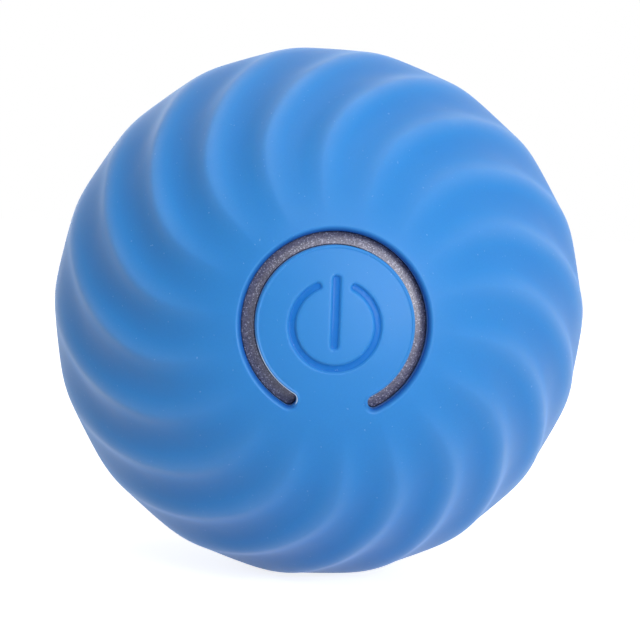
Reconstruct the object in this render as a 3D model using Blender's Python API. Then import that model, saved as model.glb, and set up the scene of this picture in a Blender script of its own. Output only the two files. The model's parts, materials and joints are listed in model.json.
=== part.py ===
"""A self-rolling cat ball, 43 mm across, with every piece that it is made of.

A soft cover with swirled flutes wraps a hard two-part shell. Inside the shell a
core hangs on two bearings and carries the motor, cell, boards and a counterweight.
Its motor walks the core round a gear that is fixed to the shell, so the heavy core
climbs one side and the ball rolls after it.

The ball's turning axis is Y. The power button faces -Y, the charging port faces +Y,
and +Z is up. The origin is the centre of the ball. Lengths are in metres.
"""

import math

import bmesh
import bpy
from mathutils import Matrix

MM = 0.001

# Clearances
FIT_GAP = 0.3 * MM  # between curved or moving neighbours
SEAT_GAP = 0.15 * MM  # between a small flat piece and its seat
OVERRUN = 2.0 * MM  # how far a cutter reaches past what it cuts
WELD = 0.0005 * MM  # points closer than this are one point

# Cover: a moulded silicone sleeve with swirled flutes
BALL_RADIUS = 21.5 * MM
COVER_WALL = 1.8 * MM  # at a ridge
COVER_FIT = 0.4 * MM  # between the cover and the hard shell
FLUTE_DEPTH = 0.5 * MM
FLUTES = 18
RIDGE_AT_DEG = 0.65  # where a ridge crosses the circle RIDGE_READ_DEG from the pole
RIDGE_READ_DEG = 56.0
FADE_IN_DEG = (24.0, 52.0)  # from the pole: smooth cap, then full flutes
SWIRL_START_DEG = (22.0, 52.0)  # the ridges lean over between these
SWIRL_EASE_DEG = (64.0, 76.0)  # and straighten a little between these
SWIRL_LEAN = 0.85  # degrees round the ball for each degree away from the pole
EQUATOR_LEAN = 0.6
WAIST_DEG = (62.0, 86.0)  # the flutes grow shallower between these
WAIST_DEPTH_SHARE = 0.6
RIDGE_ROUNDING_SHARE = 0.06
PITCH_POINT_SHARES = (0.0, 0.14, 0.36, 0.64, 0.86)  # points across one flute, from a ridge
CAP_RING_DEG = 16.0
FLUTE_ROWS = 14

# Button tongue and the C-shaped light slot round it
SLOT_INNER_RADIUS = 5.8 * MM
SLOT_WIDTH = 1.0 * MM
BRIDGE_CENTRE_DEG = 270.0
BRIDGE_HALF_DEG = 28.6
PARTING_GAP = 0.3 * MM  # the hairline where the tongue bends
TONGUE_WALL = 1.3 * MM
WELL_MARGIN = 0.6 * MM  # the hollow under the tongue is this much wider than the slot
SLOT_STEPS = 30
RIB_STEPS = 20
CAP_STEPS = 3

# Hard shell
SHELL_WALL = 1.4 * MM
LIP_WALL = 0.6 * MM
LIP_LENGTH = 1.6 * MM
BOSS_RADIUS = 2.2 * MM
BOSS_INSET = 1.3 * MM  # from the inner wall to the boss's middle
BOSS_ANGLES_DEG = (90.0, 210.0, 330.0)
REAR_BOSS_LENGTH = 4.0 * MM
SHELL_SCREW_RADIUS = 0.8 * MM
SHELL_SCREW_HEAD_RADIUS = 1.3 * MM
SHELL_SCREW_HEAD = 1.0 * MM
SHELL_SCREW_SEAT = 4.0 * MM  # from the parting plane to the face under the head
SHELL_SCREW_REACH = 3.2 * MM  # how far the screw goes into the rear boss

# Light lens: smoked, set into the front shell, and the core's front bearing pin
LENS_PROUD = 0.1 * MM
RIB_TOP_RADIUS = 20.3 * MM  # the raised C stands up into the slot, this far from the ball's centre
RIB_SUNK = 0.65 * MM
LENS_CORE_MARGIN = 0.5 * MM  # the lens's core is this much wider than the slot
LENS_FLANGE_WIDTH = 0.9 * MM
LENS_FLANGE = 0.6 * MM
BEARING_PIN_RADIUS = 3.0 * MM
BEARING_PIN_REACH = 2.7 * MM  # from the carrier's nose inwards

# Button plunger
PLUNGER_HEAD_RADIUS = 2.6 * MM
PLUNGER_HEAD = 0.6 * MM
PLUNGER_DOME = 8.0 * MM
PLUNGER_STEM_RADIUS = 1.4 * MM
PLUNGER_WELL_MARGIN = 0.4 * MM
PLUNGER_WELL_WALL = 0.5 * MM  # under the plunger's head

# Rear hub: a tube on the rear shell that carries the core and the fixed gear
HUB_BORE = 5.5 * MM
HUB_WALL = 1.1 * MM
HUB_SHOULDER = 0.7 * MM
PORT_BORE = 6.0 * MM  # the hub is wider inside from the collar's end outwards

# Gear train
MODULE = 0.4 * MM
PRESSURE_DEG = 25.0
ADDENDUM_SHARE = 0.85
DEDENDUM_SHARE = 1.2
TOOTH_PLAY = 0.08 * MM
HUB_TEETH = 42
WHEEL_TEETH = 22
LEAF_TEETH = 10
PINION_TEETH = 10
WHEEL_WIDTH = 1.2 * MM
HUB_GEAR_WIDTH = 1.8 * MM
LAYER_GAP = 0.3 * MM
GEAR_PIN_RADIUS = 0.5 * MM
GEAR_BOSS_RADIUS = 0.9 * MM
GEAR_1_CIRCLE = 10.3 * MM
MOTOR_AT_DEG = 180.0

# Core frame: the tub that swings inside the shell
TUB_INSET = 3.9 * MM  # from the shell's inner wall, at its widest, to the tub
TUB_WALL = 1.2 * MM
TUB_FRONT = 9.8 * MM  # in front of the ball's centre
TUB_BACK = 4.2 * MM  # behind it
COLLAR_WALL = 0.7 * MM
COLLAR_END = 9.9 * MM
TUB_BOSS_RADIUS = 1.4 * MM
TUB_BOSS_INSET = 1.5 * MM  # from the tub's wall to the boss's middle
TUB_BOSS_ANGLES_DEG = (45.0, 135.0, 270.0)
POST_RADIUS = 1.3 * MM
POST_INSET = 2.4 * MM  # from the tub's outside to the post's middle
POST_ANGLES_DEG = (50.0, 170.0, 310.0)

# Front carrier: a domed bridge with windows, on the front bearing
CARRIER_WALL = 1.0 * MM
CARRIER_RIM_INSET = 1.0 * MM
CARRIER_RIM_WIDTH = 1.4 * MM
CARRIER_NOSE_ROOM = 1.5 * MM  # from the nose to the shell's inner wall
CARRIER_NOSE_LENGTH = 1.3 * MM
CARRIER_NOSE_WALL = 1.3 * MM
WINDOWS = 6
WINDOW_INNER_RADIUS = 5.4 * MM
WINDOW_OUTER_RADIUS = 10.6 * MM
WINDOW_HALF_DEG = 20.0

# Gear bridge: the plate over the gears
BRIDGE_PLATE = 1.0 * MM
BRIDGE_PLATE_INSET = 0.8 * MM  # from the tub's outside to the plate's edge
BRIDGE_PLATE_ROOM = 0.4 * MM  # round the hub

# Core screws
CORE_SCREW_RADIUS = 0.6 * MM
CORE_SCREW_HEAD_RADIUS = 1.1 * MM
CORE_SCREW_HEAD = 0.6 * MM
CORE_SCREW_REACH = 3.0 * MM
HEAD_TOP_SHARE = 0.8
RECESS_SHARE = 0.4

# Boards and what is on them
BOARD = 0.8 * MM
MAIN_BOARD_INSET = 0.8 * MM
SWITCH_SIDE = 3.6 * MM
SWITCH_BODY = 1.2 * MM
ACTUATOR_RADIUS = 0.85 * MM
ACTUATOR_PROUD = 0.85 * MM
PRESS_TRAVEL = 0.25 * MM
LED_LENGTH = 2.0 * MM
LED_WIDTH = 1.3 * MM
LED_HEIGHT = 0.8 * MM
LED_CIRCLE = 6.3 * MM
LED_ANGLES_DEG = (30.0, 150.0, 210.0, 330.0)
CHIP_LENGTH = 5.0 * MM
CHIP_WIDTH = 4.0 * MM
CHIP_HEIGHT = 0.6 * MM
CHIP_UP = 8.6 * MM

# Motor
MOTOR_RADIUS = 5.0 * MM
MOTOR_FLAT = 8.0 * MM  # across its two flats
MOTOR_CAP = 1.2 * MM
MOTOR_NOSE_RADIUS = 1.5 * MM
MOTOR_NOSE = 0.8 * MM
MOTOR_SHAFT_RADIUS = 0.5 * MM
MOTOR_SHAFT_PAST_PINION = 0.4 * MM

# Cell, foam and counterweight
PACK_FRONT = 8.8 * MM  # motor, cell and weight all start here
CELL_LEFT = -2.3 * MM
CELL_WIDTH = 12.4 * MM
CELL_TOP = 6.0 * MM
CELL_BOTTOM = 4.6 * MM
CELL_EDGE = 0.8 * MM
FOAM = 0.8 * MM
WEIGHT_STEPS = 18

# Charging port
PORT_MOUTH = 17.3 * MM
PORT_WIDTH = 8.9 * MM
PORT_HEIGHT = 3.2 * MM
PORT_LENGTH = 7.1 * MM
PORT_METAL = 0.3 * MM
PORT_DEPTH = 6.2 * MM
PORT_CORNER = 1.4 * MM
PORT_TONGUE_WIDTH = 6.6 * MM
PORT_TONGUE = 0.7 * MM
PORT_TONGUE_LENGTH = 5.0 * MM
PORT_RIM = 1.0 * MM
PORT_RIM_RADIUS = 5.1 * MM
PORT_RIM_PROUD = 0.1 * MM
CHARGE_BOARD_WIDTH = 5.6 * MM
CHARGE_BOARD_WIDE = 8.0 * MM
CHARGE_BOARD_START = 3.3 * MM
CHARGE_BOARD_STEP = 10.2 * MM

# Port flap: a soft cap on a strap
FLAP_RADIUS = 6.2 * MM
FLAP_DOME = 1.1 * MM  # wall over the port, where the flap is hollowed
FLAP_LIP_RADIUS = 5.7 * MM
FLAP_LIP_WALL = 0.45 * MM
STRAP_WIDTH = 4.0 * MM
STRAP_HINGE = 7.8 * MM  # above the ball's centre
STRAP_END = 9.4 * MM
ANCHOR_PEG_RADIUS = 0.8 * MM
ANCHOR_PEG_TIP = 16.5 * MM
THUMB_RADIUS = 1.6 * MM

# How finely round shapes are divided
BALL_SIDES = 32
SHELL_SIDES = 28
TUB_SIDES = 24
DISC_SIDES = 24
SMALL_SIDES = 12
HOLE_SIDES = 10
PIN_SIDES = 8

# Sizes that follow from the ones above
COVER_INNER = BALL_RADIUS - COVER_WALL
SHELL_OUTER = COVER_INNER - COVER_FIT
SHELL_INNER = SHELL_OUTER - SHELL_WALL
TONGUE_INNER = BALL_RADIUS - TONGUE_WALL
SLOT_OUTER_RADIUS = SLOT_INNER_RADIUS + SLOT_WIDTH
SLOT_MIDDLE = (SLOT_INNER_RADIUS + SLOT_OUTER_RADIUS) / 2
LENS_OUTER = SHELL_OUTER + LENS_PROUD
LENS_CORE_RADIUS = SLOT_OUTER_RADIUS + LENS_CORE_MARGIN
LENS_RADIUS = LENS_CORE_RADIUS + LENS_FLANGE_WIDTH
RIB_ROOT = math.sqrt(SHELL_INNER**2 - SLOT_MIDDLE**2) + RIB_SUNK
PLUNGER_WELL_FLOOR = SHELL_INNER + PLUNGER_WELL_WALL
CARRIER_NOSE = SHELL_INNER - CARRIER_NOSE_ROOM
BEARING_PIN_END = CARRIER_NOSE - BEARING_PIN_REACH
BOSS_CIRCLE = SHELL_INNER - BOSS_INSET
HUB_OUTER = HUB_BORE + HUB_WALL
COLLAR_OUTER = HUB_BORE - FIT_GAP
COLLAR_INNER = COLLAR_OUTER - COLLAR_WALL
TUB_RADIUS = SHELL_INNER - TUB_INSET
TUB_INNER = TUB_RADIUS - TUB_WALL
TUB_BOSS_CIRCLE = TUB_INNER - TUB_BOSS_INSET
POST_CIRCLE = TUB_RADIUS - POST_INSET
CARRIER_RIM = TUB_RADIUS - CARRIER_RIM_INSET
MAIN_BOARD_RADIUS = TUB_RADIUS - MAIN_BOARD_INSET
MOTOR_CIRCLE = TUB_INNER - MOTOR_RADIUS - SEAT_GAP
WEIGHT_RADIUS = TUB_INNER - FIT_GAP
TUB_FLOOR = TUB_BACK - TUB_WALL

BOARD_BACK = -TUB_FRONT - SEAT_GAP
BOARD_FRONT = BOARD_BACK - BOARD
SWITCH_BACK = BOARD_FRONT - SEAT_GAP
SWITCH_FRONT = SWITCH_BACK - SWITCH_BODY
ACTUATOR_TOP = SWITCH_FRONT - ACTUATOR_PROUD

LAYER_A = (TUB_BACK + LAYER_GAP, TUB_BACK + LAYER_GAP + WHEEL_WIDTH)
LAYER_B = (LAYER_A[1] + LAYER_GAP, LAYER_A[1] + LAYER_GAP + WHEEL_WIDTH)
LAYER_C = (LAYER_B[1] + LAYER_GAP, LAYER_B[1] + LAYER_GAP + HUB_GEAR_WIDTH)
BRIDGE_FRONT = LAYER_C[1] + LAYER_GAP
BRIDGE_BACK = BRIDGE_FRONT + BRIDGE_PLATE

HUB_PITCH = MODULE * HUB_TEETH / 2
WHEEL_PITCH = MODULE * WHEEL_TEETH / 2
LEAF_PITCH = MODULE * LEAF_TEETH / 2
PINION_PITCH = MODULE * PINION_TEETH / 2
GEAR_2_CIRCLE = HUB_PITCH + LEAF_PITCH

CELL_RIGHT = CELL_LEFT + CELL_WIDTH
FOAM_TOP = -CELL_BOTTOM - SEAT_GAP
WEIGHT_TOP = FOAM_TOP - FOAM - SEAT_GAP
PACK_BACK = TUB_FLOOR - SEAT_GAP
BOARD_TOP = -PORT_HEIGHT / 2 - SEAT_GAP

# Finishes: colour, roughness, metallic
SOFT_BLUE = ((0.048, 0.279, 0.708), 0.55, 0.0)
SMOKED = ((0.035, 0.032, 0.060), 0.35, 0.0)
SHELL_GREY = ((0.080, 0.082, 0.090), 0.50, 0.0)
CORE_WHITE = ((0.620, 0.620, 0.600), 0.50, 0.0)
GEAR_WHITE = ((0.800, 0.790, 0.740), 0.40, 0.0)
GEAR_AMBER = ((0.650, 0.420, 0.120), 0.40, 0.0)
BOARD_GREEN = ((0.020, 0.160, 0.060), 0.45, 0.0)
STEEL = ((0.560, 0.570, 0.580), 0.30, 1.0)
ZINC = ((0.330, 0.340, 0.350), 0.45, 1.0)
BRASS = ((0.710, 0.520, 0.210), 0.30, 1.0)
BLACK = ((0.015, 0.015, 0.017), 0.50, 0.0)
CELL_SILVER = ((0.450, 0.460, 0.480), 0.35, 0.6)
FOAM_GREY = ((0.120, 0.120, 0.125), 0.90, 0.0)
LED_WHITE = ((0.850, 0.840, 0.760), 0.30, 0.0)


def polar(radius, degrees):
    """(x, z) of a point that far from the axis, counted from +X towards +Z."""
    turn = math.radians(degrees)
    return radius * math.cos(turn), radius * math.sin(turn)


def depth_on_ball(ball, off_axis):
    """How far along Y a ball's surface lies from its centre, off_axis from the axis."""
    return math.sqrt(ball**2 - off_axis**2)


def ball_arc(ball, start, end, side, steps):
    """Points (off-axis distance, y) along a ball from one off-axis distance to another."""
    first, last = math.asin(start / ball), math.asin(end / ball)
    turns = [first + (last - first) * i / steps for i in range(steps + 1)]
    return [(ball * math.sin(t), side * ball * math.cos(t)) for t in turns]


def finish(mesh, name, finish_of, round_edges):
    """Makes an object of a bmesh, with outward faces and its own material."""
    bmesh.ops.recalc_face_normals(mesh, faces=mesh.faces)
    data = bpy.data.meshes.new(name)
    mesh.to_mesh(data)
    mesh.free()
    if round_edges:
        data.shade_smooth()
        data.set_sharp_from_angle(angle=math.radians(35.0))
    piece = bpy.data.objects.new(name, data)
    bpy.context.scene.collection.objects.link(piece)
    if finish_of is None:
        piece.hide_render = True
        piece.display_type = "WIRE"
        return piece
    colour, roughness, metallic = finish_of
    material = bpy.data.materials.new(name)
    material.use_nodes = True
    shader = material.node_tree.nodes["Principled BSDF"]
    shader.inputs["Base Color"].default_value = (*colour, 1.0)
    shader.inputs["Roughness"].default_value = roughness
    shader.inputs["Metallic"].default_value = metallic
    material.diffuse_color = (*colour, 1.0)
    data.materials.append(material)
    return piece


def turned(name, profile, sides, finish_of=None):
    """Turns (off-axis distance, y) points about Y. A profile with its ends on the axis stays open there."""
    mesh = bmesh.new()
    points = [mesh.verts.new((off_axis, y, 0)) for off_axis, y in profile]
    pairs = list(zip(points, points[1:]))
    if profile[0][0] > 0:
        pairs.append((points[-1], points[0]))
    edges = [mesh.edges.new(pair) for pair in pairs]
    bmesh.ops.spin(
        mesh,
        geom=points + edges,
        cent=(0, 0, 0),
        axis=(0, 1, 0),
        angle=math.tau,
        steps=sides,
        use_merge=True,
    )
    bmesh.ops.remove_doubles(mesh, verts=mesh.verts, dist=WELD)
    return finish(mesh, name, finish_of, True)


def rod(name, radius, front, back, sides, finish_of=None):
    """A round bar along Y."""
    profile = [(0, front), (radius, front), (radius, back), (0, back)]
    return turned(name, profile, sides, finish_of)


def ring(name, inner, outer, front, back, sides, finish_of=None):
    profile = [(inner, front), (outer, front), (outer, back), (inner, back)]
    return turned(name, profile, sides, finish_of)


def extruded(name, outline, front, back, finish_of=None):
    """Extrudes an outline of (x, z) points along Y."""
    mesh = bmesh.new()
    face = mesh.faces.new([mesh.verts.new((x, front, z)) for x, z in outline])
    made = bmesh.ops.extrude_face_region(mesh, geom=[face])
    for part in made["geom"]:
        if isinstance(part, bmesh.types.BMVert):
            part.co.y = back
    return finish(mesh, name, finish_of, False)


def box(name, low, high, finish_of=None):
    """A box between two corners."""
    size = [b - a for a, b in zip(low, high)]
    middle = [(a + b) / 2 for a, b in zip(low, high)]
    mesh = bmesh.new()
    place = Matrix.Translation(middle) @ Matrix.Diagonal((*size, 1))
    bmesh.ops.create_cube(mesh, size=1, matrix=place)
    return finish(mesh, name, finish_of, False)


def ball(name, radius, sides, centre=(0, 0, 0)):
    """A helper ball whose poles lie on the Y axis."""
    mesh = bmesh.new()
    place = Matrix.Translation(centre) @ Matrix.Rotation(math.pi / 2, 4, "X")
    bmesh.ops.create_uvsphere(
        mesh, u_segments=sides, v_segments=sides // 2, radius=radius, matrix=place
    )
    return finish(mesh, name, None, True)


def combine(piece, other, operation):
    """Adds a Boolean: DIFFERENCE cuts other out, UNION joins it, INTERSECT keeps the shared part."""
    modifier = piece.modifiers.new(other.name, "BOOLEAN")
    modifier.operation = operation
    modifier.solver = "EXACT"
    modifier.object = other
    return piece


def cut(piece, *others):
    for other in others:
        combine(piece, other, "DIFFERENCE")
    return piece


def join(piece, *others):
    for other in others:
        combine(piece, other, "UNION")
    return piece


def keep_inside(piece, other):
    return combine(piece, other, "INTERSECT")


def soften(piece, width):
    """A small bevel on every edge."""
    modifier = piece.modifiers.new("edges", "BEVEL")
    modifier.width = width
    modifier.segments = 1
    return piece


def moved_to(piece, x, z):
    piece.location = (x, 0, z)
    return piece


def pivot(name, place):
    """An empty on a joint's axis, which the pieces that move there hang from."""
    empty = bpy.data.objects.new(name, None)
    empty.location = place
    empty.empty_display_size = BEARING_PIN_RADIUS
    bpy.context.scene.collection.objects.link(empty)
    return empty


def hang(empty, *pieces):
    """Parents pieces to a pivot and leaves them where they are."""
    for piece in pieces:
        piece.parent = empty
        piece.matrix_parent_inverse = Matrix.Translation(empty.location).inverted()


def rounded_outline(width, height, corner, steps):
    """A rounded rectangle about the origin, as (x, z) points."""
    points = []
    for quarter, (right, up) in enumerate(((1, 1), (-1, 1), (-1, -1), (1, -1))):
        middle_x = right * (width / 2 - corner)
        middle_z = up * (height / 2 - corner)
        for i in range(steps + 1):
            x, z = polar(corner, 90.0 * (quarter + i / steps))
            points.append((middle_x + x, middle_z + z))
    return points


def eased(value, start, end):
    """0 before start, 1 after end, and a smooth step between."""
    t = min(max((value - start) / (end - start), 0.0), 1.0)
    return t * t * (3 - 2 * t)


def eased_sum(value, start, end):
    """The running total of eased() up to value."""
    t = max((value - start) / (end - start), 0.0)
    return (end - start) * (t**3 - t**4 / 2 if t < 1 else t - 0.5)


def swirl(from_pole):
    """How far round the ball a ridge has run, in degrees, that many degrees from the front pole."""
    if from_pole > 90.0:
        return 2 * swirl(90.0) - swirl(180.0 - from_pole)
    lean = SWIRL_LEAN * eased_sum(from_pole, *SWIRL_START_DEG)
    ease = (SWIRL_LEAN - EQUATOR_LEAN) * eased_sum(from_pole, *SWIRL_EASE_DEG)
    return ease - lean


def flute_share(across):
    """0 on a ridge and 1 in the middle of a flute, for a place from -0.5 to 0.5 across one flute."""
    rounding = RIDGE_ROUNDING_SHARE
    reach = math.hypot(across, rounding) - rounding
    full = math.hypot(0.5, rounding) - rounding
    return 1 - (1 - reach / full) ** 2


def cover_radius(from_pole, across):
    near_pole = min(from_pole, 180.0 - from_pole)
    fade = eased(near_pole, *FADE_IN_DEG)
    waist = 1 - (1 - WAIST_DEPTH_SHARE) * eased(near_pole, *WAIST_DEG)
    return BALL_RADIUS - FLUTE_DEPTH * fade * waist * flute_share(across)


def fluted_ball():
    """The closed outer form of the cover, its rows of points running along the ridges."""
    mesh = bmesh.new()
    first, last = FADE_IN_DEG[0], 180.0 - FADE_IN_DEG[0]
    rows = [CAP_RING_DEG]
    rows += [first + (last - first) * i / FLUTE_ROWS for i in range(FLUTE_ROWS + 1)]
    rows.append(180.0 - CAP_RING_DEG)
    shift = RIDGE_AT_DEG - swirl(RIDGE_READ_DEG)
    rings = []
    for from_pole in rows:
        tilt = math.radians(from_pole)
        circle = []
        for flute in range(FLUTES):
            for across in PITCH_POINT_SHARES:
                turn = shift + swirl(from_pole) + 360.0 / FLUTES * (flute + across)
                radius = cover_radius(from_pole, across)
                x, z = polar(radius * math.sin(tilt), turn)
                circle.append(mesh.verts.new((x, -radius * math.cos(tilt), z)))
        rings.append(circle)
    count = len(rings[0])
    for upper, lower in zip(rings, rings[1:]):
        for i in range(count):
            after = (i + 1) % count
            mesh.faces.new((upper[i], upper[after], lower[after], lower[i]))
    for circle, y in ((rings[0], -BALL_RADIUS), (rings[-1], BALL_RADIUS)):
        pole = mesh.verts.new((0, y, 0))
        for i in range(count):
            mesh.faces.new((circle[i], circle[(i + 1) % count], pole))
    return finish(mesh, "silicone_cover", SOFT_BLUE, True)


def slot_edge(side):
    """The outline of the light slot's outer wall (side 1) or inner wall (side -1).
    Across the bridge the outline follows the hairline where the tongue bends."""
    half = (SLOT_OUTER_RADIUS - SLOT_INNER_RADIUS) / 2
    cap_turn = math.acos(PARTING_GAP / 2 / half)
    left = BRIDGE_CENTRE_DEG - BRIDGE_HALF_DEG
    right = BRIDGE_CENTRE_DEG + BRIDGE_HALF_DEG
    long_way = 360.0 - 2 * BRIDGE_HALF_DEG

    def round_cap(at_deg, towards, share):
        turn = math.radians(at_deg)
        out = SLOT_MIDDLE + side * half * math.cos(cap_turn * share)
        along = towards * half * math.sin(cap_turn * share)
        x = out * math.cos(turn) - along * math.sin(turn)
        z = out * math.sin(turn) + along * math.cos(turn)
        return x, z

    points = [
        polar(SLOT_MIDDLE + side * half, right + long_way * i / SLOT_STEPS)
        for i in range(SLOT_STEPS + 1)
    ]
    points += [round_cap(left, 1, i / CAP_STEPS) for i in range(1, CAP_STEPS + 1)]
    start = math.degrees(math.atan2(*reversed(points[-1]))) % 360.0
    end = 2 * BRIDGE_CENTRE_DEG - start
    line = SLOT_MIDDLE + side * PARTING_GAP / 2
    steps = 2 * CAP_STEPS
    points += [polar(line, start + (end - start) * i / steps) for i in range(1, steps)]
    points += [round_cap(right, -1, i / CAP_STEPS) for i in range(CAP_STEPS, 0, -1)]
    return points


def rib_outline():
    """The outline of the lens's raised rib, a C that fills the light slot but for a small gap."""
    half = (SLOT_OUTER_RADIUS - SLOT_INNER_RADIUS) / 2 - SEAT_GAP
    left = BRIDGE_CENTRE_DEG - BRIDGE_HALF_DEG
    right = BRIDGE_CENTRE_DEG + BRIDGE_HALF_DEG - 360.0
    points = []
    for side, start, end in ((1, right, left), (-1, left, right)):
        turns = [start + (end - start) * i / RIB_STEPS for i in range(RIB_STEPS + 1)]
        points += [polar(SLOT_MIDDLE + side * half, turn) for turn in turns]
        centre_x, centre_z = polar(SLOT_MIDDLE, end)
        towards = end if side > 0 else end + 180.0
        for i in range(1, CAP_STEPS):
            x, z = polar(half, towards + 180.0 * i / CAP_STEPS)
            points.append((centre_x + x, centre_z + z))
    return points


def flap_outline(radius, width, end):
    """A disc with a strap that runs up to end."""
    half = width / 2
    start = math.degrees(math.acos(half / radius))
    turns = [180.0 - start + (180.0 + 2 * start) * i / DISC_SIDES for i in range(DISC_SIDES + 1)]
    return [polar(radius, turn) for turn in turns] + [(half, end), (-half, end)]


def make_cover(inner_ball):
    cover = fluted_ball()
    slot = extruded("slot_cutter", slot_edge(1), -BALL_RADIUS - OVERRUN, OVERRUN - SHELL_INNER)
    well_radius = SLOT_OUTER_RADIUS + WELL_MARGIN
    well_arc = ball_arc(TONGUE_INNER, 0, well_radius, -1, 4)
    well_end = [(well_radius, -SHELL_INNER), (0, -SHELL_INNER)]
    well = turned("tongue_well_cutter", well_arc + well_end, DISC_SIDES)
    port = extruded(
        "port_opening_cutter",
        flap_outline(FLAP_RADIUS + FIT_GAP, STRAP_WIDTH + 2 * FIT_GAP, STRAP_END + FIT_GAP),
        HUB_BORE,
        BALL_RADIUS + OVERRUN,
    )
    thumb_at = (0, BALL_RADIUS, -FLAP_RADIUS - THUMB_RADIUS / 2)
    thumb = ball("thumb_cutter", THUMB_RADIUS, SMALL_SIDES, thumb_at)
    return cut(cover, inner_ball, slot, well, port, thumb)


def make_button(outer_ball):
    """The tongue of the cover that is pressed. It bends at the bridge, low on the ring."""
    button = extruded("power_button", slot_edge(-1), -BALL_RADIUS - OVERRUN, -SHELL_INNER, SOFT_BLUE)
    keep_inside(button, outer_ball)
    cut(button, ball("tongue_inside_cutter", TONGUE_INNER, BALL_SIDES))
    bend = (BALL_RADIUS + TONGUE_INNER) / 2
    hang(pivot("button_hinge", (0, -depth_on_ball(bend, SLOT_MIDDLE), -SLOT_MIDDLE)), button)


def boss_helpers(name, front, back, inside):
    """The three screw bosses of one half shell, trimmed to lie inside its wall."""
    bosses = []
    for number, at_deg in enumerate(BOSS_ANGLES_DEG, 1):
        boss = rod(f"{name}_{number}", BOSS_RADIUS, front, back, SMALL_SIDES)
        moved_to(boss, *polar(BOSS_CIRCLE, at_deg))
        bosses.append(keep_inside(boss, inside))
    return bosses


def holes(name, radius, front, back, circle, angles_deg, sides=HOLE_SIDES):
    return [
        moved_to(rod(f"{name}_{number}", radius, front, back, sides), *polar(circle, at_deg))
        for number, at_deg in enumerate(angles_deg, 1)
    ]


def make_front_shell(inside):
    ledge_hole = LENS_CORE_RADIUS + FIT_GAP
    opening = LENS_RADIUS + FIT_GAP
    seat = LENS_OUTER - LENS_FLANGE - FIT_GAP
    rim = -SEAT_GAP / 2
    profile = [
        *ball_arc(SHELL_OUTER, opening, SHELL_OUTER, -1, 5)[:-1],
        (SHELL_OUTER, rim),
        (SHELL_INNER + LIP_WALL, rim),
        (SHELL_INNER + LIP_WALL, LIP_LENGTH),
        (SHELL_INNER, LIP_LENGTH),
        *ball_arc(SHELL_INNER, SHELL_INNER, ledge_hole, -1, 4),
        *ball_arc(seat, ledge_hole, opening, -1, 1),
    ]
    shell = turned("front_shell", profile, SHELL_SIDES, SHELL_GREY)
    far = -SHELL_OUTER
    join(shell, *boss_helpers("front_boss", far, rim - SEAT_GAP, inside))
    driver = SHELL_SCREW_HEAD_RADIUS + FIT_GAP
    cut(shell, *holes("driver_hole", driver, far, -SHELL_SCREW_SEAT, BOSS_CIRCLE, BOSS_ANGLES_DEG))
    shank = SHELL_SCREW_RADIUS + FIT_GAP
    return cut(shell, *holes("front_shank_hole", shank, far, OVERRUN, BOSS_CIRCLE, BOSS_ANGLES_DEG))


def make_rear_shell(inside):
    rim = SEAT_GAP / 2
    shoulder = LAYER_C[1] + SEAT_GAP
    root = HUB_OUTER + HUB_SHOULDER
    lip_room = SHELL_INNER + LIP_WALL + FIT_GAP
    lip_stop = LIP_LENGTH + FIT_GAP
    stop_at = math.sqrt(SHELL_INNER**2 - lip_stop**2)
    profile = [
        (SHELL_OUTER, rim),
        *ball_arc(SHELL_OUTER, SHELL_OUTER, PORT_BORE, 1, 6)[1:],
        (PORT_BORE, COLLAR_END + FIT_GAP),
        (HUB_BORE, COLLAR_END + FIT_GAP),
        (HUB_BORE, LAYER_C[0]),
        (HUB_OUTER, LAYER_C[0]),
        (HUB_OUTER, shoulder),
        (root, shoulder),
        *ball_arc(SHELL_INNER, root, stop_at, 1, 4),
        (lip_room, lip_stop),
        (lip_room, rim),
    ]
    shell = turned("rear_shell", profile, SHELL_SIDES, SHELL_GREY)
    bosses = boss_helpers("rear_boss", rim, REAR_BOSS_LENGTH, inside)
    for boss in bosses:
        near, far = SHELL_INNER - FIT_GAP, SHELL_OUTER + OVERRUN
        cut(boss, ring(f"{boss.name}_trim", near, far, -OVERRUN, LIP_LENGTH + SEAT_GAP, SHELL_SIDES))
    join(shell, *bosses)
    shank = SHELL_SCREW_RADIUS + FIT_GAP
    blind = SHELL_SCREW_REACH + FIT_GAP
    cut(shell, *holes("rear_shank_hole", shank, -OVERRUN, blind, BOSS_CIRCLE, BOSS_ANGLES_DEG))
    peg_hole = rod("peg_hole", ANCHOR_PEG_RADIUS + FIT_GAP, LAYER_C[1], BALL_RADIUS, PIN_SIDES)
    return cut(shell, moved_to(peg_hole, 0, (STRAP_HINGE + STRAP_END) / 2))


def make_lens():
    """Smoked cap with a rib that glows in the slot. Its pin carries the core and guides the plunger."""
    well = PLUNGER_HEAD_RADIUS + PLUNGER_WELL_MARGIN
    bore = PLUNGER_STEM_RADIUS + FIT_GAP
    profile = [
        *ball_arc(LENS_OUTER, well, LENS_RADIUS, -1, 3),
        *ball_arc(LENS_OUTER - LENS_FLANGE, LENS_RADIUS, LENS_CORE_RADIUS, -1, 1),
        *ball_arc(SHELL_INNER, LENS_CORE_RADIUS, BEARING_PIN_RADIUS, -1, 2),
        (BEARING_PIN_RADIUS, -BEARING_PIN_END),
        (bore, -BEARING_PIN_END),
        (bore, -PLUNGER_WELL_FLOOR),
        (well, -PLUNGER_WELL_FLOOR),
    ]
    lens = turned("light_lens", profile, DISC_SIDES, SMOKED)
    rib = extruded("light_rib", rib_outline(), -BALL_RADIUS - OVERRUN, -RIB_ROOT)
    return join(lens, keep_inside(rib, ball("rib_ball", RIB_TOP_RADIUS, BALL_SIDES)))


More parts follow.
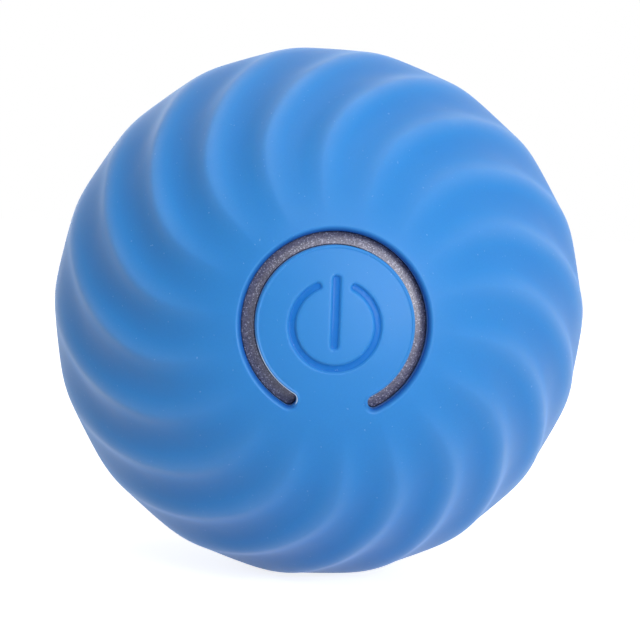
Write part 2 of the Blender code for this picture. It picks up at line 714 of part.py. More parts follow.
def make_plunger():
    top = TONGUE_INNER - FIT_GAP
    edge = top - (PLUNGER_DOME - math.sqrt(PLUNGER_DOME**2 - PLUNGER_HEAD_RADIUS**2))
    dome = [(off, PLUNGER_DOME - top + y) for off, y in ball_arc(PLUNGER_DOME, 0, PLUNGER_HEAD_RADIUS, -1, 3)]
    profile = [
        *dome,
        (PLUNGER_HEAD_RADIUS, -edge + PLUNGER_HEAD),
        (PLUNGER_STEM_RADIUS, -edge + PLUNGER_HEAD),
        (PLUNGER_STEM_RADIUS, ACTUATOR_TOP - FIT_GAP),
        (0, ACTUATOR_TOP - FIT_GAP),
    ]
    plunger = turned("button_plunger", profile, SMALL_SIDES, BLACK)
    hang(pivot("plunger_axis", (0, -top, 0)), plunger)


def make_flap(outer_ball, inner_ball):
    """The soft cap over the charging port, and the strap end that stays in the shell."""
    flap = extruded(
        "port_flap",
        flap_outline(FLAP_RADIUS, STRAP_WIDTH, STRAP_HINGE - PARTING_GAP / 2),
        HUB_BORE,
        BALL_RADIUS + OVERRUN,
        SOFT_BLUE,
    )
    keep_inside(flap, outer_ball)
    cut(flap, inner_ball)
    lip_end = PORT_MOUTH + SEAT_GAP
    lip_root = depth_on_ball(COVER_INNER, FLAP_LIP_RADIUS) + COVER_WALL / 2
    join(flap, rod("flap_lip", FLAP_LIP_RADIUS, lip_end, lip_root, DISC_SIDES))
    hollow = ball_arc(BALL_RADIUS - FLAP_DOME, 0, FLAP_LIP_RADIUS - FLAP_LIP_WALL, 1, 4)
    hollow += [(hollow[-1][0], HUB_BORE), (0, HUB_BORE)]
    cut(flap, turned("flap_hollow_cutter", hollow, DISC_SIDES))
    hang(pivot("flap_hinge", (0, depth_on_ball(BALL_RADIUS, STRAP_HINGE), STRAP_HINGE)), flap)

    half = STRAP_WIDTH / 2
    foot = STRAP_HINGE + PARTING_GAP / 2
    outline = [(-half, foot), (half, foot), (half, STRAP_END), (-half, STRAP_END)]
    anchor = extruded("flap_anchor", outline, HUB_BORE, BALL_RADIUS + OVERRUN, SOFT_BLUE)
    keep_inside(anchor, outer_ball)
    cut(anchor, inner_ball)
    peg_at = (STRAP_HINGE + STRAP_END) / 2
    peg_root = depth_on_ball(COVER_INNER, peg_at) + COVER_WALL / 2
    peg = rod("anchor_peg", ANCHOR_PEG_RADIUS, ANCHOR_PEG_TIP, peg_root, PIN_SIDES)
    join(anchor, moved_to(peg, 0, peg_at))


def tooth_half_angle(radius, teeth):
    """Half the angle that a tooth takes up at a radius, on an involute flank."""
    pitch = MODULE * teeth / 2
    base = pitch * math.cos(math.radians(PRESSURE_DEG))

    def involute(at):
        slope = math.acos(min(base / at, 1.0))
        return math.tan(slope) - slope

    at_pitch = math.pi / (2 * teeth) - TOOTH_PLAY / (2 * pitch)
    return at_pitch + involute(pitch) - involute(max(radius, base))


def gear_outline(teeth, tooth_at_deg):
    """A gear's outline, with one tooth centred at that angle."""
    pitch = MODULE * teeth / 2
    root, tip = pitch - DEDENDUM_SHARE * MODULE, pitch + ADDENDUM_SHARE * MODULE
    radii = (root, pitch, tip) if teeth <= LEAF_TEETH else (root, tip)
    halves = [math.degrees(tooth_half_angle(radius, teeth)) for radius in radii]
    points = []
    for tooth in range(teeth):
        centre = tooth_at_deg + 360.0 / teeth * tooth
        points += [polar(radius, centre - half) for radius, half in zip(radii, halves)]
        points += [
            polar(radius, centre + half)
            for radius, half in zip(reversed(radii), reversed(halves))
        ]
    return points


def meshed_tooth(tooth_at_deg, teeth, towards_deg, other_teeth):
    """Where the other gear has a tooth, so that the two are in mesh along towards_deg."""
    step = 360.0 / teeth
    ahead = ((tooth_at_deg - towards_deg) / step) % 1.0
    return towards_deg + 180.0 + (0.5 - ahead) * 360.0 / other_teeth


def heading(start, end):
    """The direction from one (x, z) point to another, in degrees."""
    return math.degrees(math.atan2(end[1] - start[1], end[0] - start[0]))


def angle_between(side_a, side_b, opposite):
    """The angle between two sides of a triangle, from its three lengths."""
    return math.degrees(math.acos((side_a**2 + side_b**2 - opposite**2) / (2 * side_a * side_b)))


def gear_places():
    """(x, z) of the motor, gear 1 and gear 2. Each is set from the one before it, round the collar."""
    gear_1_deg = MOTOR_AT_DEG + angle_between(MOTOR_CIRCLE, GEAR_1_CIRCLE, PINION_PITCH + WHEEL_PITCH)
    gear_2_deg = gear_1_deg + angle_between(GEAR_1_CIRCLE, GEAR_2_CIRCLE, LEAF_PITCH + WHEEL_PITCH)
    return (
        polar(MOTOR_CIRCLE, MOTOR_AT_DEG),
        polar(GEAR_1_CIRCLE, gear_1_deg),
        polar(GEAR_2_CIRCLE, gear_2_deg),
    )


def compound_gear(name, place, wheel_tooth, leaf_tooth, wheel_layer, leaf_layer, finish_of):
    """A wheel and a smaller leaf gear in one piece, with a boss that runs from plate to plate."""
    gear = extruded(name, gear_outline(WHEEL_TEETH, wheel_tooth), *wheel_layer, finish_of)
    leaf_start = (wheel_layer[0] + wheel_layer[1]) / 2
    leaf = extruded(f"{name}_leaf", gear_outline(LEAF_TEETH, leaf_tooth), leaf_start, leaf_layer[1])
    boss = rod(f"{name}_boss", GEAR_BOSS_RADIUS, TUB_BACK + SEAT_GAP, BRIDGE_FRONT - SEAT_GAP, PIN_SIDES)
    bore = rod(f"{name}_bore", GEAR_PIN_RADIUS + SEAT_GAP, TUB_BACK - OVERRUN, BRIDGE_BACK, PIN_SIDES)
    for helper in (leaf, boss, bore):
        moved_to(helper, *place)
    cut(join(gear, leaf, boss), bore)
    return moved_to(gear, *place)


def make_gears():
    """The fixed hub gear and the train that walks round it. Returns the pieces that ride on the core."""
    motor, first, second = gear_places()
    centre = (0, 0)
    hub_tooth = 0.0
    second_leaf = meshed_tooth(hub_tooth, HUB_TEETH, heading(centre, second), LEAF_TEETH)
    second_wheel = second_leaf
    first_leaf = meshed_tooth(second_wheel, WHEEL_TEETH, heading(second, first), LEAF_TEETH)
    first_wheel = first_leaf
    pinion_tooth = meshed_tooth(first_wheel, WHEEL_TEETH, heading(first, motor), PINION_TEETH)

    hub = extruded("hub_gear", gear_outline(HUB_TEETH, hub_tooth), *LAYER_C, GEAR_AMBER)
    cut(hub, rod("hub_gear_bore", HUB_OUTER + FIT_GAP, LAYER_B[0], BRIDGE_BACK, DISC_SIDES))

    gear_1 = compound_gear("gear_1", first, first_wheel, first_leaf, LAYER_A, LAYER_B, GEAR_WHITE)
    gear_2 = compound_gear("gear_2", second, second_wheel, second_leaf, LAYER_B, LAYER_C, GEAR_WHITE)

    pinion = extruded("motor_pinion", gear_outline(PINION_TEETH, pinion_tooth), *LAYER_A, BRASS)
    bore = rod("pinion_bore", MOTOR_SHAFT_RADIUS + SEAT_GAP, TUB_FLOOR, BRIDGE_FRONT, PIN_SIDES)
    cut(moved_to(pinion, *motor), moved_to(bore, *motor))
    shaft_end = LAYER_A[1] + MOTOR_SHAFT_PAST_PINION
    shaft = rod("motor_shaft", MOTOR_SHAFT_RADIUS, -PACK_FRONT, shaft_end, PIN_SIDES, STEEL)
    moved_to(shaft, *motor)

    pins = []
    for number, place in enumerate((first, second), 1):
        pin = rod(f"gear_pin_{number}", GEAR_PIN_RADIUS, TUB_FLOOR + SEAT_GAP, BRIDGE_BACK, PIN_SIDES, STEEL)
        pins.append(moved_to(pin, *place))
    return [gear_1, gear_2, pinion, shaft, *pins]


def make_core_frame():
    """The tub: side wall, floor, a collar that turns in the hub, and bosses and posts for its screws."""
    motor, first, second = gear_places()
    profile = [
        (TUB_INNER, -TUB_FRONT),
        (TUB_RADIUS, -TUB_FRONT),
        (TUB_RADIUS, TUB_BACK),
        (COLLAR_OUTER, TUB_BACK),
        (COLLAR_OUTER, COLLAR_END),
        (COLLAR_INNER, COLLAR_END),
        (COLLAR_INNER, TUB_FLOOR),
        (TUB_INNER, TUB_FLOOR),
    ]
    tub = turned("core_frame", profile, TUB_SIDES, CORE_WHITE)
    middle = (TUB_FLOOR + TUB_BACK) / 2
    top = BRIDGE_FRONT - SEAT_GAP
    bosses = holes("tub_boss", TUB_BOSS_RADIUS, -TUB_FRONT, middle, TUB_BOSS_CIRCLE, TUB_BOSS_ANGLES_DEG)
    posts = holes("bridge_post", POST_RADIUS, middle, top, POST_CIRCLE, POST_ANGLES_DEG)
    join(tub, *bosses, *posts)
    thread = CORE_SCREW_RADIUS + SEAT_GAP
    reach = -TUB_FRONT + CORE_SCREW_REACH
    cut(tub, *holes("boss_thread", thread, -TUB_FRONT - OVERRUN, reach, TUB_BOSS_CIRCLE, TUB_BOSS_ANGLES_DEG))
    deep = top - CORE_SCREW_REACH
    cut(tub, *holes("post_thread", thread, deep, top + OVERRUN, POST_CIRCLE, POST_ANGLES_DEG))
    nose = rod("motor_nose_hole", MOTOR_NOSE_RADIUS + SEAT_GAP, -TUB_FLOOR, TUB_BACK + OVERRUN, SMALL_SIDES)
    cut(tub, moved_to(nose, *motor))
    for number, place in enumerate((first, second), 1):
        hole = rod(f"pin_hole_{number}", GEAR_PIN_RADIUS + SEAT_GAP, 0, TUB_BACK + OVERRUN, PIN_SIDES)
        cut(tub, moved_to(hole, *place))
    return tub


def make_front_carrier():
    """A domed bridge with six windows for the lamps, turning on the lens's pin."""
    bore = BEARING_PIN_RADIUS + FIT_GAP
    nose = bore + CARRIER_NOSE_WALL
    rim_front = BOARD_FRONT - SEAT_GAP
    nose_back = -CARRIER_NOSE + CARRIER_NOSE_LENGTH
    inner_rim = CARRIER_RIM - CARRIER_RIM_WIDTH
    profile = [
        (bore, -CARRIER_NOSE),
        (nose, -CARRIER_NOSE),
        (CARRIER_RIM, rim_front - CARRIER_WALL),
        (CARRIER_RIM, rim_front),
        (inner_rim, rim_front),
        (nose, nose_back),
        (bore, nose_back),
    ]
    carrier = turned("front_carrier", profile, TUB_SIDES, CORE_WHITE)
    for number in range(WINDOWS):
        centre = 360.0 / WINDOWS * number
        left, right = centre + WINDOW_HALF_DEG, centre - WINDOW_HALF_DEG
        outline = [polar(WINDOW_OUTER_RADIUS, turn) for turn in (right, left)]
        outline += [polar(WINDOW_INNER_RADIUS, turn) for turn in (left, right)]
        window = extruded(f"window_{number}", outline, -CARRIER_NOSE - OVERRUN, rim_front + OVERRUN)
        cut(carrier, window)
    head = CORE_SCREW_HEAD_RADIUS + FIT_GAP
    seat = rim_front - CARRIER_WALL
    cut(carrier, *holes("head_seat", head, -CARRIER_NOSE, seat, TUB_BOSS_CIRCLE, TUB_BOSS_ANGLES_DEG))
    shank = CORE_SCREW_RADIUS + SEAT_GAP
    cut(carrier, *holes("carrier_hole", shank, -CARRIER_NOSE, 0, TUB_BOSS_CIRCLE, TUB_BOSS_ANGLES_DEG))
    return carrier


def make_gear_bridge():
    radii = (HUB_OUTER + HUB_SHOULDER + BRIDGE_PLATE_ROOM, TUB_RADIUS - BRIDGE_PLATE_INSET)
    bridge = ring("gear_bridge", *radii, BRIDGE_FRONT, BRIDGE_BACK, TUB_SIDES, CORE_WHITE)
    shank = CORE_SCREW_RADIUS + SEAT_GAP
    far = BRIDGE_BACK + OVERRUN
    cut(bridge, *holes("bridge_hole", shank, 0, far, POST_CIRCLE, POST_ANGLES_DEG))
    for number, place in enumerate(gear_places()[1:], 1):
        hole = rod(f"bridge_pin_hole_{number}", GEAR_PIN_RADIUS + SEAT_GAP, 0, far, PIN_SIDES)
        cut(bridge, moved_to(hole, *place))
    return bridge


def screw(name, radius, head_radius, head, seat, point, place, finish_of):
    """A pan-head screw along Y, its head on seat and its end at point, with a square recess."""
    inwards = 1 if point > seat else -1
    under = seat - inwards * SEAT_GAP
    top = under - inwards * head
    profile = [
        (0, top),
        (head_radius * HEAD_TOP_SHARE, top),
        (head_radius, under),
        (radius, under),
        (radius, point),
        (0, point),
    ]
    made = turned(name, profile, PIN_SIDES, finish_of)
    half = head_radius * RECESS_SHARE
    deep = top + inwards * head / 2
    out = top - inwards * OVERRUN
    low, high = min(deep, out), max(deep, out)
    recess = box(f"{name}_recess", (-half, low, -half), (half, high, half))
    cut(made, moved_to(recess, *place))
    return moved_to(made, *place)


def make_screws():
    """Three screws for the shell, three for the front carrier and three for the gear bridge."""
    core = []
    for number, at_deg in enumerate(BOSS_ANGLES_DEG, 1):
        place = polar(BOSS_CIRCLE, at_deg)
        sizes = (SHELL_SCREW_RADIUS, SHELL_SCREW_HEAD_RADIUS, SHELL_SCREW_HEAD)
        screw(f"shell_screw_{number}", *sizes, -SHELL_SCREW_SEAT, SHELL_SCREW_REACH, place, STEEL)
    sizes = (CORE_SCREW_RADIUS, CORE_SCREW_HEAD_RADIUS, CORE_SCREW_HEAD)
    seat = BOARD_FRONT - SEAT_GAP - CARRIER_WALL
    point = -TUB_FRONT + CORE_SCREW_REACH - FIT_GAP
    for number, at_deg in enumerate(TUB_BOSS_ANGLES_DEG, 1):
        place = polar(TUB_BOSS_CIRCLE, at_deg)
        core.append(screw(f"carrier_screw_{number}", *sizes, seat, point, place, STEEL))
    point = BRIDGE_FRONT - SEAT_GAP - CORE_SCREW_REACH + FIT_GAP
    for number, at_deg in enumerate(POST_ANGLES_DEG, 1):
        place = polar(POST_CIRCLE, at_deg)
        core.append(screw(f"bridge_screw_{number}", *sizes, BRIDGE_BACK, point, place, STEEL))
    return core


def make_main_board():
    """The round board behind the front carrier, with its lamps, chip and button switch."""
    board = rod("main_board", MAIN_BOARD_RADIUS, BOARD_FRONT, BOARD_BACK, TUB_SIDES, BOARD_GREEN)
    shank = CORE_SCREW_RADIUS + SEAT_GAP
    far = BOARD_BACK + OVERRUN
    cut(board, *holes("board_hole", shank, BOARD_FRONT - OVERRUN, far, TUB_BOSS_CIRCLE, TUB_BOSS_ANGLES_DEG))
    made = [board]

    for number, at_deg in enumerate(LED_ANGLES_DEG, 1):
        x, z = polar(LED_CIRCLE, at_deg)
        half_x, half_z = LED_LENGTH / 2, LED_WIDTH / 2
        back = BOARD_FRONT - SEAT_GAP
        low = (x - half_x, back - LED_HEIGHT, z - half_z)
        made.append(box(f"led_{number}", low, (x + half_x, back, z + half_z), LED_WHITE))

    chip_front = BOARD_BACK + SEAT_GAP
    chip = box(
        "control_chip",
        (-CHIP_LENGTH / 2, chip_front, CHIP_UP - CHIP_WIDTH / 2),
        (CHIP_LENGTH / 2, chip_front + CHIP_HEIGHT, CHIP_UP + CHIP_WIDTH / 2),
        BLACK,
    )
    made.append(chip)

    half = SWITCH_SIDE / 2
    body = box("switch_body", (-half, SWITCH_FRONT, -half), (half, SWITCH_BACK, half), BLACK)
    bore = ACTUATOR_RADIUS + FIT_GAP
    cut(body, rod("actuator_bore", bore, SWITCH_FRONT - OVERRUN, SWITCH_BACK + OVERRUN, SMALL_SIDES))
    made.append(body)
    rest_end = SWITCH_BACK - PRESS_TRAVEL - SEAT_GAP
    made.append(rod("switch_actuator", ACTUATOR_RADIUS, ACTUATOR_TOP, rest_end, SMALL_SIDES, BRASS))
    return made


def flat_sided_outline(radius, across):
    """A circle cut by two flats, above and below."""
    edge = math.degrees(math.asin(across / 2 / radius))
    steps = 6
    right = [polar(radius, -edge + 2 * edge * i / steps) for i in range(steps + 1)]
    return right + [(-x, -z) for x, z in right]


def make_motor():
    place = gear_places()[0]
    cap_back = -PACK_FRONT + MOTOR_CAP
    outline = flat_sided_outline(MOTOR_RADIUS, MOTOR_FLAT)
    cap = extruded("motor_end_cap", outline, -PACK_FRONT, cap_back, BLACK)
    can = extruded("motor_can", outline, cap_back + SEAT_GAP, PACK_BACK, STEEL)
    nose = rod("motor_nose", MOTOR_NOSE_RADIUS, 0, PACK_BACK + MOTOR_NOSE, SMALL_SIDES)
    bore = rod("shaft_bore", MOTOR_SHAFT_RADIUS + FIT_GAP, -PACK_FRONT - OVERRUN, BRIDGE_FRONT, PIN_SIDES)
    for piece in (cap, can, nose, bore):
        moved_to(piece, *place)
    cut(join(can, nose), bore)
    cut(cap, bore)
    return [can, cap]


def make_power_pack():
    """The cell, the foam under it and the counterweight that keeps the core upright."""
    cell = box(
        "battery",
        (CELL_LEFT, -PACK_FRONT, -CELL_BOTTOM),
        (CELL_RIGHT, PACK_BACK, CELL_TOP),
        CELL_SILVER,
    )
    soften(cell, CELL_EDGE)
    foam = box(
        "battery_pad",
        (CELL_LEFT, -PACK_FRONT, FOAM_TOP - FOAM),
        (CELL_RIGHT, PACK_BACK, FOAM_TOP),
        FOAM_GREY,
    )
    half = math.degrees(math.acos(-WEIGHT_TOP / WEIGHT_RADIUS))
    turns = [270.0 - half + 2 * half * i / WEIGHT_STEPS for i in range(WEIGHT_STEPS + 1)]
    outline = [polar(WEIGHT_RADIUS, turn) for turn in turns]
    weight = extruded("counterweight", outline, -PACK_FRONT, PACK_BACK, ZINC)
    room = TUB_BOSS_RADIUS + FIT_GAP
    low_boss = TUB_BOSS_ANGLES_DEG[-1:]
    cut(weight, *holes("weight_notch", room, -TUB_FRONT, TUB_BACK, TUB_BOSS_CIRCLE, low_boss, SMALL_SIDES))
    return [cell, foam, weight]


def make_port():
    """The charging socket on its own board, and the rim that closes the hub round it."""
    metal = extruded(
        "usb_socket",
        rounded_outline(PORT_WIDTH, PORT_HEIGHT, PORT_CORNER, 3),
        PORT_MOUTH - PORT_LENGTH,
        PORT_MOUTH,
        STEEL,
    )
    wall = 2 * PORT_METAL
    inside = rounded_outline(PORT_WIDTH - wall, PORT_HEIGHT - wall, PORT_CORNER - PORT_METAL, 3)
    cut(metal, extruded("socket_cutter", inside, PORT_MOUTH - PORT_DEPTH, PORT_MOUTH + OVERRUN))
    tongue_back = PORT_MOUTH - PORT_DEPTH + SEAT_GAP
    tongue = box(
        "usb_tongue",
        (-PORT_TONGUE_WIDTH / 2, tongue_back, -PORT_TONGUE / 2),
        (PORT_TONGUE_WIDTH / 2, tongue_back + PORT_TONGUE_LENGTH, PORT_TONGUE / 2),
        BLACK,
    )
    rim_back = PORT_MOUTH + PORT_RIM_PROUD
    rim = rod("port_rim", PORT_RIM_RADIUS, rim_back - PORT_RIM, rim_back, DISC_SIDES, BLACK)
    room = 2 * SEAT_GAP
    opening = rounded_outline(PORT_WIDTH + room, PORT_HEIGHT + room, PORT_CORNER + SEAT_GAP, 3)
    cut(rim, extruded("rim_opening", opening, COLLAR_END, PORT_MOUTH + OVERRUN))

    narrow, wide = CHARGE_BOARD_WIDTH / 2, CHARGE_BOARD_WIDE / 2
    low, high = BOARD_TOP - BOARD, BOARD_TOP
    board_end = rim_back - PORT_RIM - SEAT_GAP
    board = box("charge_board", (-narrow, CHARGE_BOARD_START, low), (narrow, board_end, high), BOARD_GREEN)
    head = box("charge_board_head", (-wide, CHARGE_BOARD_STEP, low), (wide, board_end, high))
    join(board, head)
    return [metal, tongue, rim, board]


def main():
    for old in list(bpy.data.objects):
        bpy.data.objects.remove(old, do_unlink=True)
    outer_ball = ball("outer_ball", BALL_RADIUS, BALL_SIDES)
    inner_ball = ball("inner_ball", COVER_INNER, SHELL_SIDES)
    inside_wall = ball("inside_wall", (SHELL_OUTER + SHELL_INNER) / 2, BALL_SIDES)

    make_cover(inner_ball)
    make_button(outer_ball)
    make_flap(outer_ball, inner_ball)
    make_front_shell(inside_wall)
    make_rear_shell(inside_wall)
    make_lens()
    make_plunger()

    core = [make_core_frame(), make_front_carrier(), make_gear_bridge()]
    core += make_gears()
    core += make_main_board()
    core += make_screws()
    core += make_motor()
    core += make_power_pack()
    core += make_port()
    hang(pivot("core_axis", (0, 0, 0)), *core)


main()
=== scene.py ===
"""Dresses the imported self-rolling cat ball: fluted silicone cover, light ring, port flap and finishes.

The ball's axis is Y. The button faces -Y, the charging port +Y, and +Z is up. Outlines and radii
are in millimetres until a mesh is made. Angles are in degrees, counted from +X towards +Z.
"""

import json
import math

import bmesh
import bpy
import numpy as np
from mathutils import Matrix, Vector, kdtree
from mathutils.geometry import delaunay_2d_cdt


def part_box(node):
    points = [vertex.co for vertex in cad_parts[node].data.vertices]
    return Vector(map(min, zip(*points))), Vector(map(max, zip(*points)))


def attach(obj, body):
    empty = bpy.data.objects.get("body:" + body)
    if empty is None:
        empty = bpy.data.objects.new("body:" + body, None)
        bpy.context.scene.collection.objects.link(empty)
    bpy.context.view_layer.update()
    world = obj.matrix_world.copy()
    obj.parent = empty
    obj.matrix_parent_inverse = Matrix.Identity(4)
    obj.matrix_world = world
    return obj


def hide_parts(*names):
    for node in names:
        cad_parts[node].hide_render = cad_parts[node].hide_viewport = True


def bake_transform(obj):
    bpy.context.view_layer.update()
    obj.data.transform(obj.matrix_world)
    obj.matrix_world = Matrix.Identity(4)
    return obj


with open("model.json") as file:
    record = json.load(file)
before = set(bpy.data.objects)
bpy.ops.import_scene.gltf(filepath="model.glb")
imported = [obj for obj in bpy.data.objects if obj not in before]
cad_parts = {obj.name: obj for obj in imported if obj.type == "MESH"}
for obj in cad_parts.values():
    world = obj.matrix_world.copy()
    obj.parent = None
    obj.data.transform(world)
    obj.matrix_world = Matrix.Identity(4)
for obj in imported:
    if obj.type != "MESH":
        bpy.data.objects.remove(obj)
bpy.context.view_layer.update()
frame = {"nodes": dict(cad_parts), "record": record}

MM = 0.001

# Cover
BALL = 21.5
INNER_BALL = 19.7  # inner face of the cover
TONGUE_BALL = 20.2  # inner face under the button
FRONT_CAP, REAR_CAP = 7.5, 10.5  # off-axis radii where the caps meet the flutes
FLUTES, FLUTE_DEPTH = 18, 0.6
FADE_IN = (18.0, 47.0)  # the flutes deepen between these angles from a pole
WAIST, WAIST_SHARE = (62.0, 86.0), 0.23  # and grow shallower between these, down to that share
RIDGE_ROUNDING = 0.10
RIDGE_AT, RIDGE_READ = 0.65, 56.0  # the first ridge's angle, read that far from the front pole
SWIRL_START, SWIRL_EASE = (22.0, 52.0), (64.0, 76.0)  # the ridges begin to lean, then lean less
SWIRL_LEAN, EQUATOR_LEAN = 0.85, 0.66
CREST_IN = (23.0, 58.0)  # the ridges get a painted pale sheen, partly wear, from here, and fully from there
CREST_WIDTH, CREST_SPREAD = 0.115, 0.12  # shares of a flute at the widest part, and added near the cap
HOLLOW_SHADE, HOLLOW_EDGE = 0.14, (0.12, 0.4)  # painted shade, a deeper blue in the hollows, between these places across a flute
COLUMNS, CROWDING = 18, 1.7  # columns across one flute, crowded at the ridge
ROWS = 150
INNER_COLUMNS, INNER_ROWS = 108, 24

# Button and light slot
SLOT_MIDDLE, SLOT_HALF = 6.3, 0.5
BRIDGE_HALF = 29.2
SLOT_LOOPS = (0.0, 0.01, 0.03, 0.06, 0.1, 0.13, 0.17, 0.21, 0.26, 0.31, 0.36, 0.4, 0.44, 0.5, 0.6)
SLOT_ARC_STEPS, SLOT_CAP_STEPS = 220, 12
SLOT_WALL_ROWS = 6
OUTER_SHARE = (-0.2, 0.9)  # round the slot's ends the outer edge passes into the inner one
OUTER_ROLL, OUTER_DROP, OUTER_POWER, INNER_ROLL = 0.42, 0.40, 1.6, 0.06
BEAD_AT, BEAD_WIDTH, BEAD_HEIGHT = 0.14, 0.07, 0.075  # a fine bead along the button's edge
GLINT_WIDTH, GLINT_FROM, GLINT_TO = 0.07, 170.0, 264.0  # a painted glint along the button's thin edge: its width, and the angles it lies between
GLINT_RISE, GLINT_FALL = 40.0, 6.0
SHADE_WIDTH = 0.32  # painted shade, a deep blue, along the slot's outer edge
WELL_EDGE = 7.38

# Power sign
SIGN_CENTRE = (-0.055, -0.035)
SIGN_RADIUS, SIGN_HALF = 3.11, 0.275
SIGN_GAP = 25.3
BAR_TOP, BAR_END, BAR_HALF = 3.66, -1.72, 0.305
SIGN_SINK, SIGN_SOFT = 0.22, 0.08
SIGN_FLOOR_EDGE = -0.02  # inside this the faces have the floor's finish
SIGN_LOOPS = (-0.1, -0.04, 0.04, 0.1)
SIGN_ARC_STEPS, SIGN_CAP_STEPS, BAR_STEPS = 110, 10, 32

# Light ring
RIB_BALL, RIB_HALF, RIB_ROLL = 20.3, 0.46, 0.05
RIB_LOOPS = (0.0, 0.005, 0.015, 0.035, RIB_ROLL, 0.16)
LENS_BALL, LENS_EDGE, LENS_CORE, LENS_WELL = 19.4, 8.2, 7.3, 3.0
LENS_INNER_BALL, LENS_FLANGE = 17.9, 0.6
LENS_COLUMNS, LENS_ROWS = 120, 6
PIN_RADIUS, PIN_END, STEM_BORE, WELL_FLOOR = 3.0, -13.7, 1.7, -18.4

# Port flap
FLAP_GAP = 0.3
FLAP_RADIUS, STRAP_HALF, STRAP_TOP, STRAP_CORNER = 6.2, 2.0, 9.4, 0.25
STRAP_FILLET, STRAP_HINGE = 1.0, 7.8
DISC_STEPS, FILLET_STEPS, STRAP_STEPS, CORNER_STEPS, TOP_STEPS = 150, 10, 12, 6, 14
EDGE_ROLL = 0.25
EDGE_LOOPS = (0.0, 0.01, 0.03, 0.06, 0.1, 0.16, 0.25, 0.4)
GROOVE_DEPTH, GROOVE_WIDTH = 0.55, 0.22  # where the strap bends
GROOVE_FROM = (6.6, 7.2)  # it fades out towards the disc
GROOVE_UNDER = 0.6  # share of it under the strap
LIP_OUTER, LIP_INNER, LIP_END = 5.7, 5.25, 17.45
LIP_LEAD, LIP_EDGE = (0.1, 0.15), 0.06
LIP_COLUMNS, DOME_ROWS = 96, 8
FLAP_DOME_BALL = 20.4
PEG_RADIUS, PEG_TIP = 0.8, 16.5
PEG_PROFILE = ((1.0, 18.1), (1.0, PEG_TIP + 0.9), (1.18, PEG_TIP + 0.6), (0.6, PEG_TIP))  # share, y
PEG_SKIP = 4  # the peg has every fourth of the lip's columns
THUMB_AT, THUMB_RADIUS, THUMB_DEPTH = 7.0, 1.6, 0.45

# Contacts of the port
CONTACTS, CONTACT_PITCH, CONTACT_WIDTH = 12, 0.5, 0.26
CONTACT_RISE, CONTACT_SINK = 0.04, 0.02
CONTACT_BACK, CONTACT_FRONT, OUTER_CONTACT_FRONT = 0.8, 0.6, 0.35  # kept free of the tongue's ends
CONTACT_RAMP, CONTACT_BEVEL = 0.08, 0.05

# Meshes
ROW_PITCH = 0.866  # height of a triangle with sides of 1
CLEARANCE = 0.6  # share of the spacing that the grid keeps from the loops
SAME_POINT = 1e-5
SMOOTH_ANGLE = 50.0
FRONT_SPACING, REAR_SPACING = 0.16, 0.3
INNER_FRONT_SPACING, INNER_REAR_SPACING, FLAP_INNER_SPACING = 0.8, 1.2, 0.4
LENS_SPACING, RIB_SPACING = 0.5, 0.12

# Stage, in metres and watts
LAMPS = (  # name, place, side, power
    ("front_light", (0.21, -0.44, 0.10), 0.25, 1.90),
    ("fill_light", (-0.02, -0.36, 0.30), 0.20, 0.52),
    ("top_light", (0.02, -0.02, 0.42), 0.30, 0.30),
    ("back_light", (-0.06, 0.46, 0.06), 0.30, 0.36),
)
ROOM_LIGHT, BACKDROP = 0.35, 1.0
FLOOR_HALF, FLOOR_GREYS, FLOOR_GLOW = 3.0, (0.71, 0.73), 0.80
CAMERA_BACK, CAMERA_AWAY, CAMERA_ROLL = (-0.0600, -0.997, 0.0472), 0.172, 2.25
CAMERA_LENS, CAMERA_SENSOR, CAMERA_SHIFT = 117.96, 36.0, (0.0022, -0.0141)
CAMERA_CLIP = (0.005, 20.0)


def polar(radius, degrees):
    """(x, z) of a point that far from the axis."""
    turn = math.radians(degrees)
    return radius * math.cos(turn), radius * math.sin(turn)


def even_turns(count):
    """That many even angles round the axis."""
    return [360.0 * i / count for i in range(count)]


def eased(value, start, end):
    """0 before start, 1 after end, and a smooth step between."""
    t = min(max((value - start) / (end - start), 0.0), 1.0)
    return t * t * (3 - 2 * t)


def eased_sum(value, start, end):
    """The running total of eased() up to value."""
    t = max((value - start) / (end - start), 0.0)
    return (end - start) * (t**3 - t**4 / 2 if t < 1 else t - 0.5)


def swirl(from_pole):
    """How far round the ball a ridge has run, that many degrees from the front pole."""
    if from_pole > 90.0:
        return 2 * swirl(90.0) - swirl(180.0 - from_pole)
    lean = SWIRL_LEAN * eased_sum(from_pole, *SWIRL_START)
    return (SWIRL_LEAN - EQUATOR_LEAN) * eased_sum(from_pole, *SWIRL_EASE) - lean


def flute_drop(from_pole, across):
    """How far the cover lies below the ball. across is 0 on a ridge and 0.5 in the hollow."""
    near_pole = min(from_pole, 180.0 - from_pole)
    depth = FLUTE_DEPTH * eased(near_pole, *FADE_IN)
    depth *= 1 - (1 - WAIST_SHARE) * eased(near_pole, *WAIST)
    reach = math.hypot(across, RIDGE_ROUNDING) - RIDGE_ROUNDING
    full = math.hypot(0.5, RIDGE_ROUNDING) - RIDGE_ROUNDING
    return depth * (1 - (1 - reach / full) ** 2)


def ridge_turn(from_pole):
    """The angle of the first ridge, that many degrees from the front pole."""
    return RIDGE_AT - swirl(RIDGE_READ) + swirl(from_pole)


def rear_flutes_at(x, z):
    """The flutes' drop under a point of the rear cap, seen along the axis."""
    near_pole = math.degrees(math.asin(min(math.hypot(x, z) / BALL, 1.0)))
    if near_pole <= FADE_IN[0]:
        return 0.0
    from_pole = 180.0 - near_pole
    flute = (math.degrees(math.atan2(z, x)) - ridge_turn(from_pole)) * FLUTES / 360.0
    return flute_drop(from_pole, flute - round(flute))


def roll(depth, radius):
    """The drop of a rounded edge, that far from the wall."""
    if depth >= radius:
        return 0.0
    return radius - math.sqrt(radius**2 - (radius - depth) ** 2)


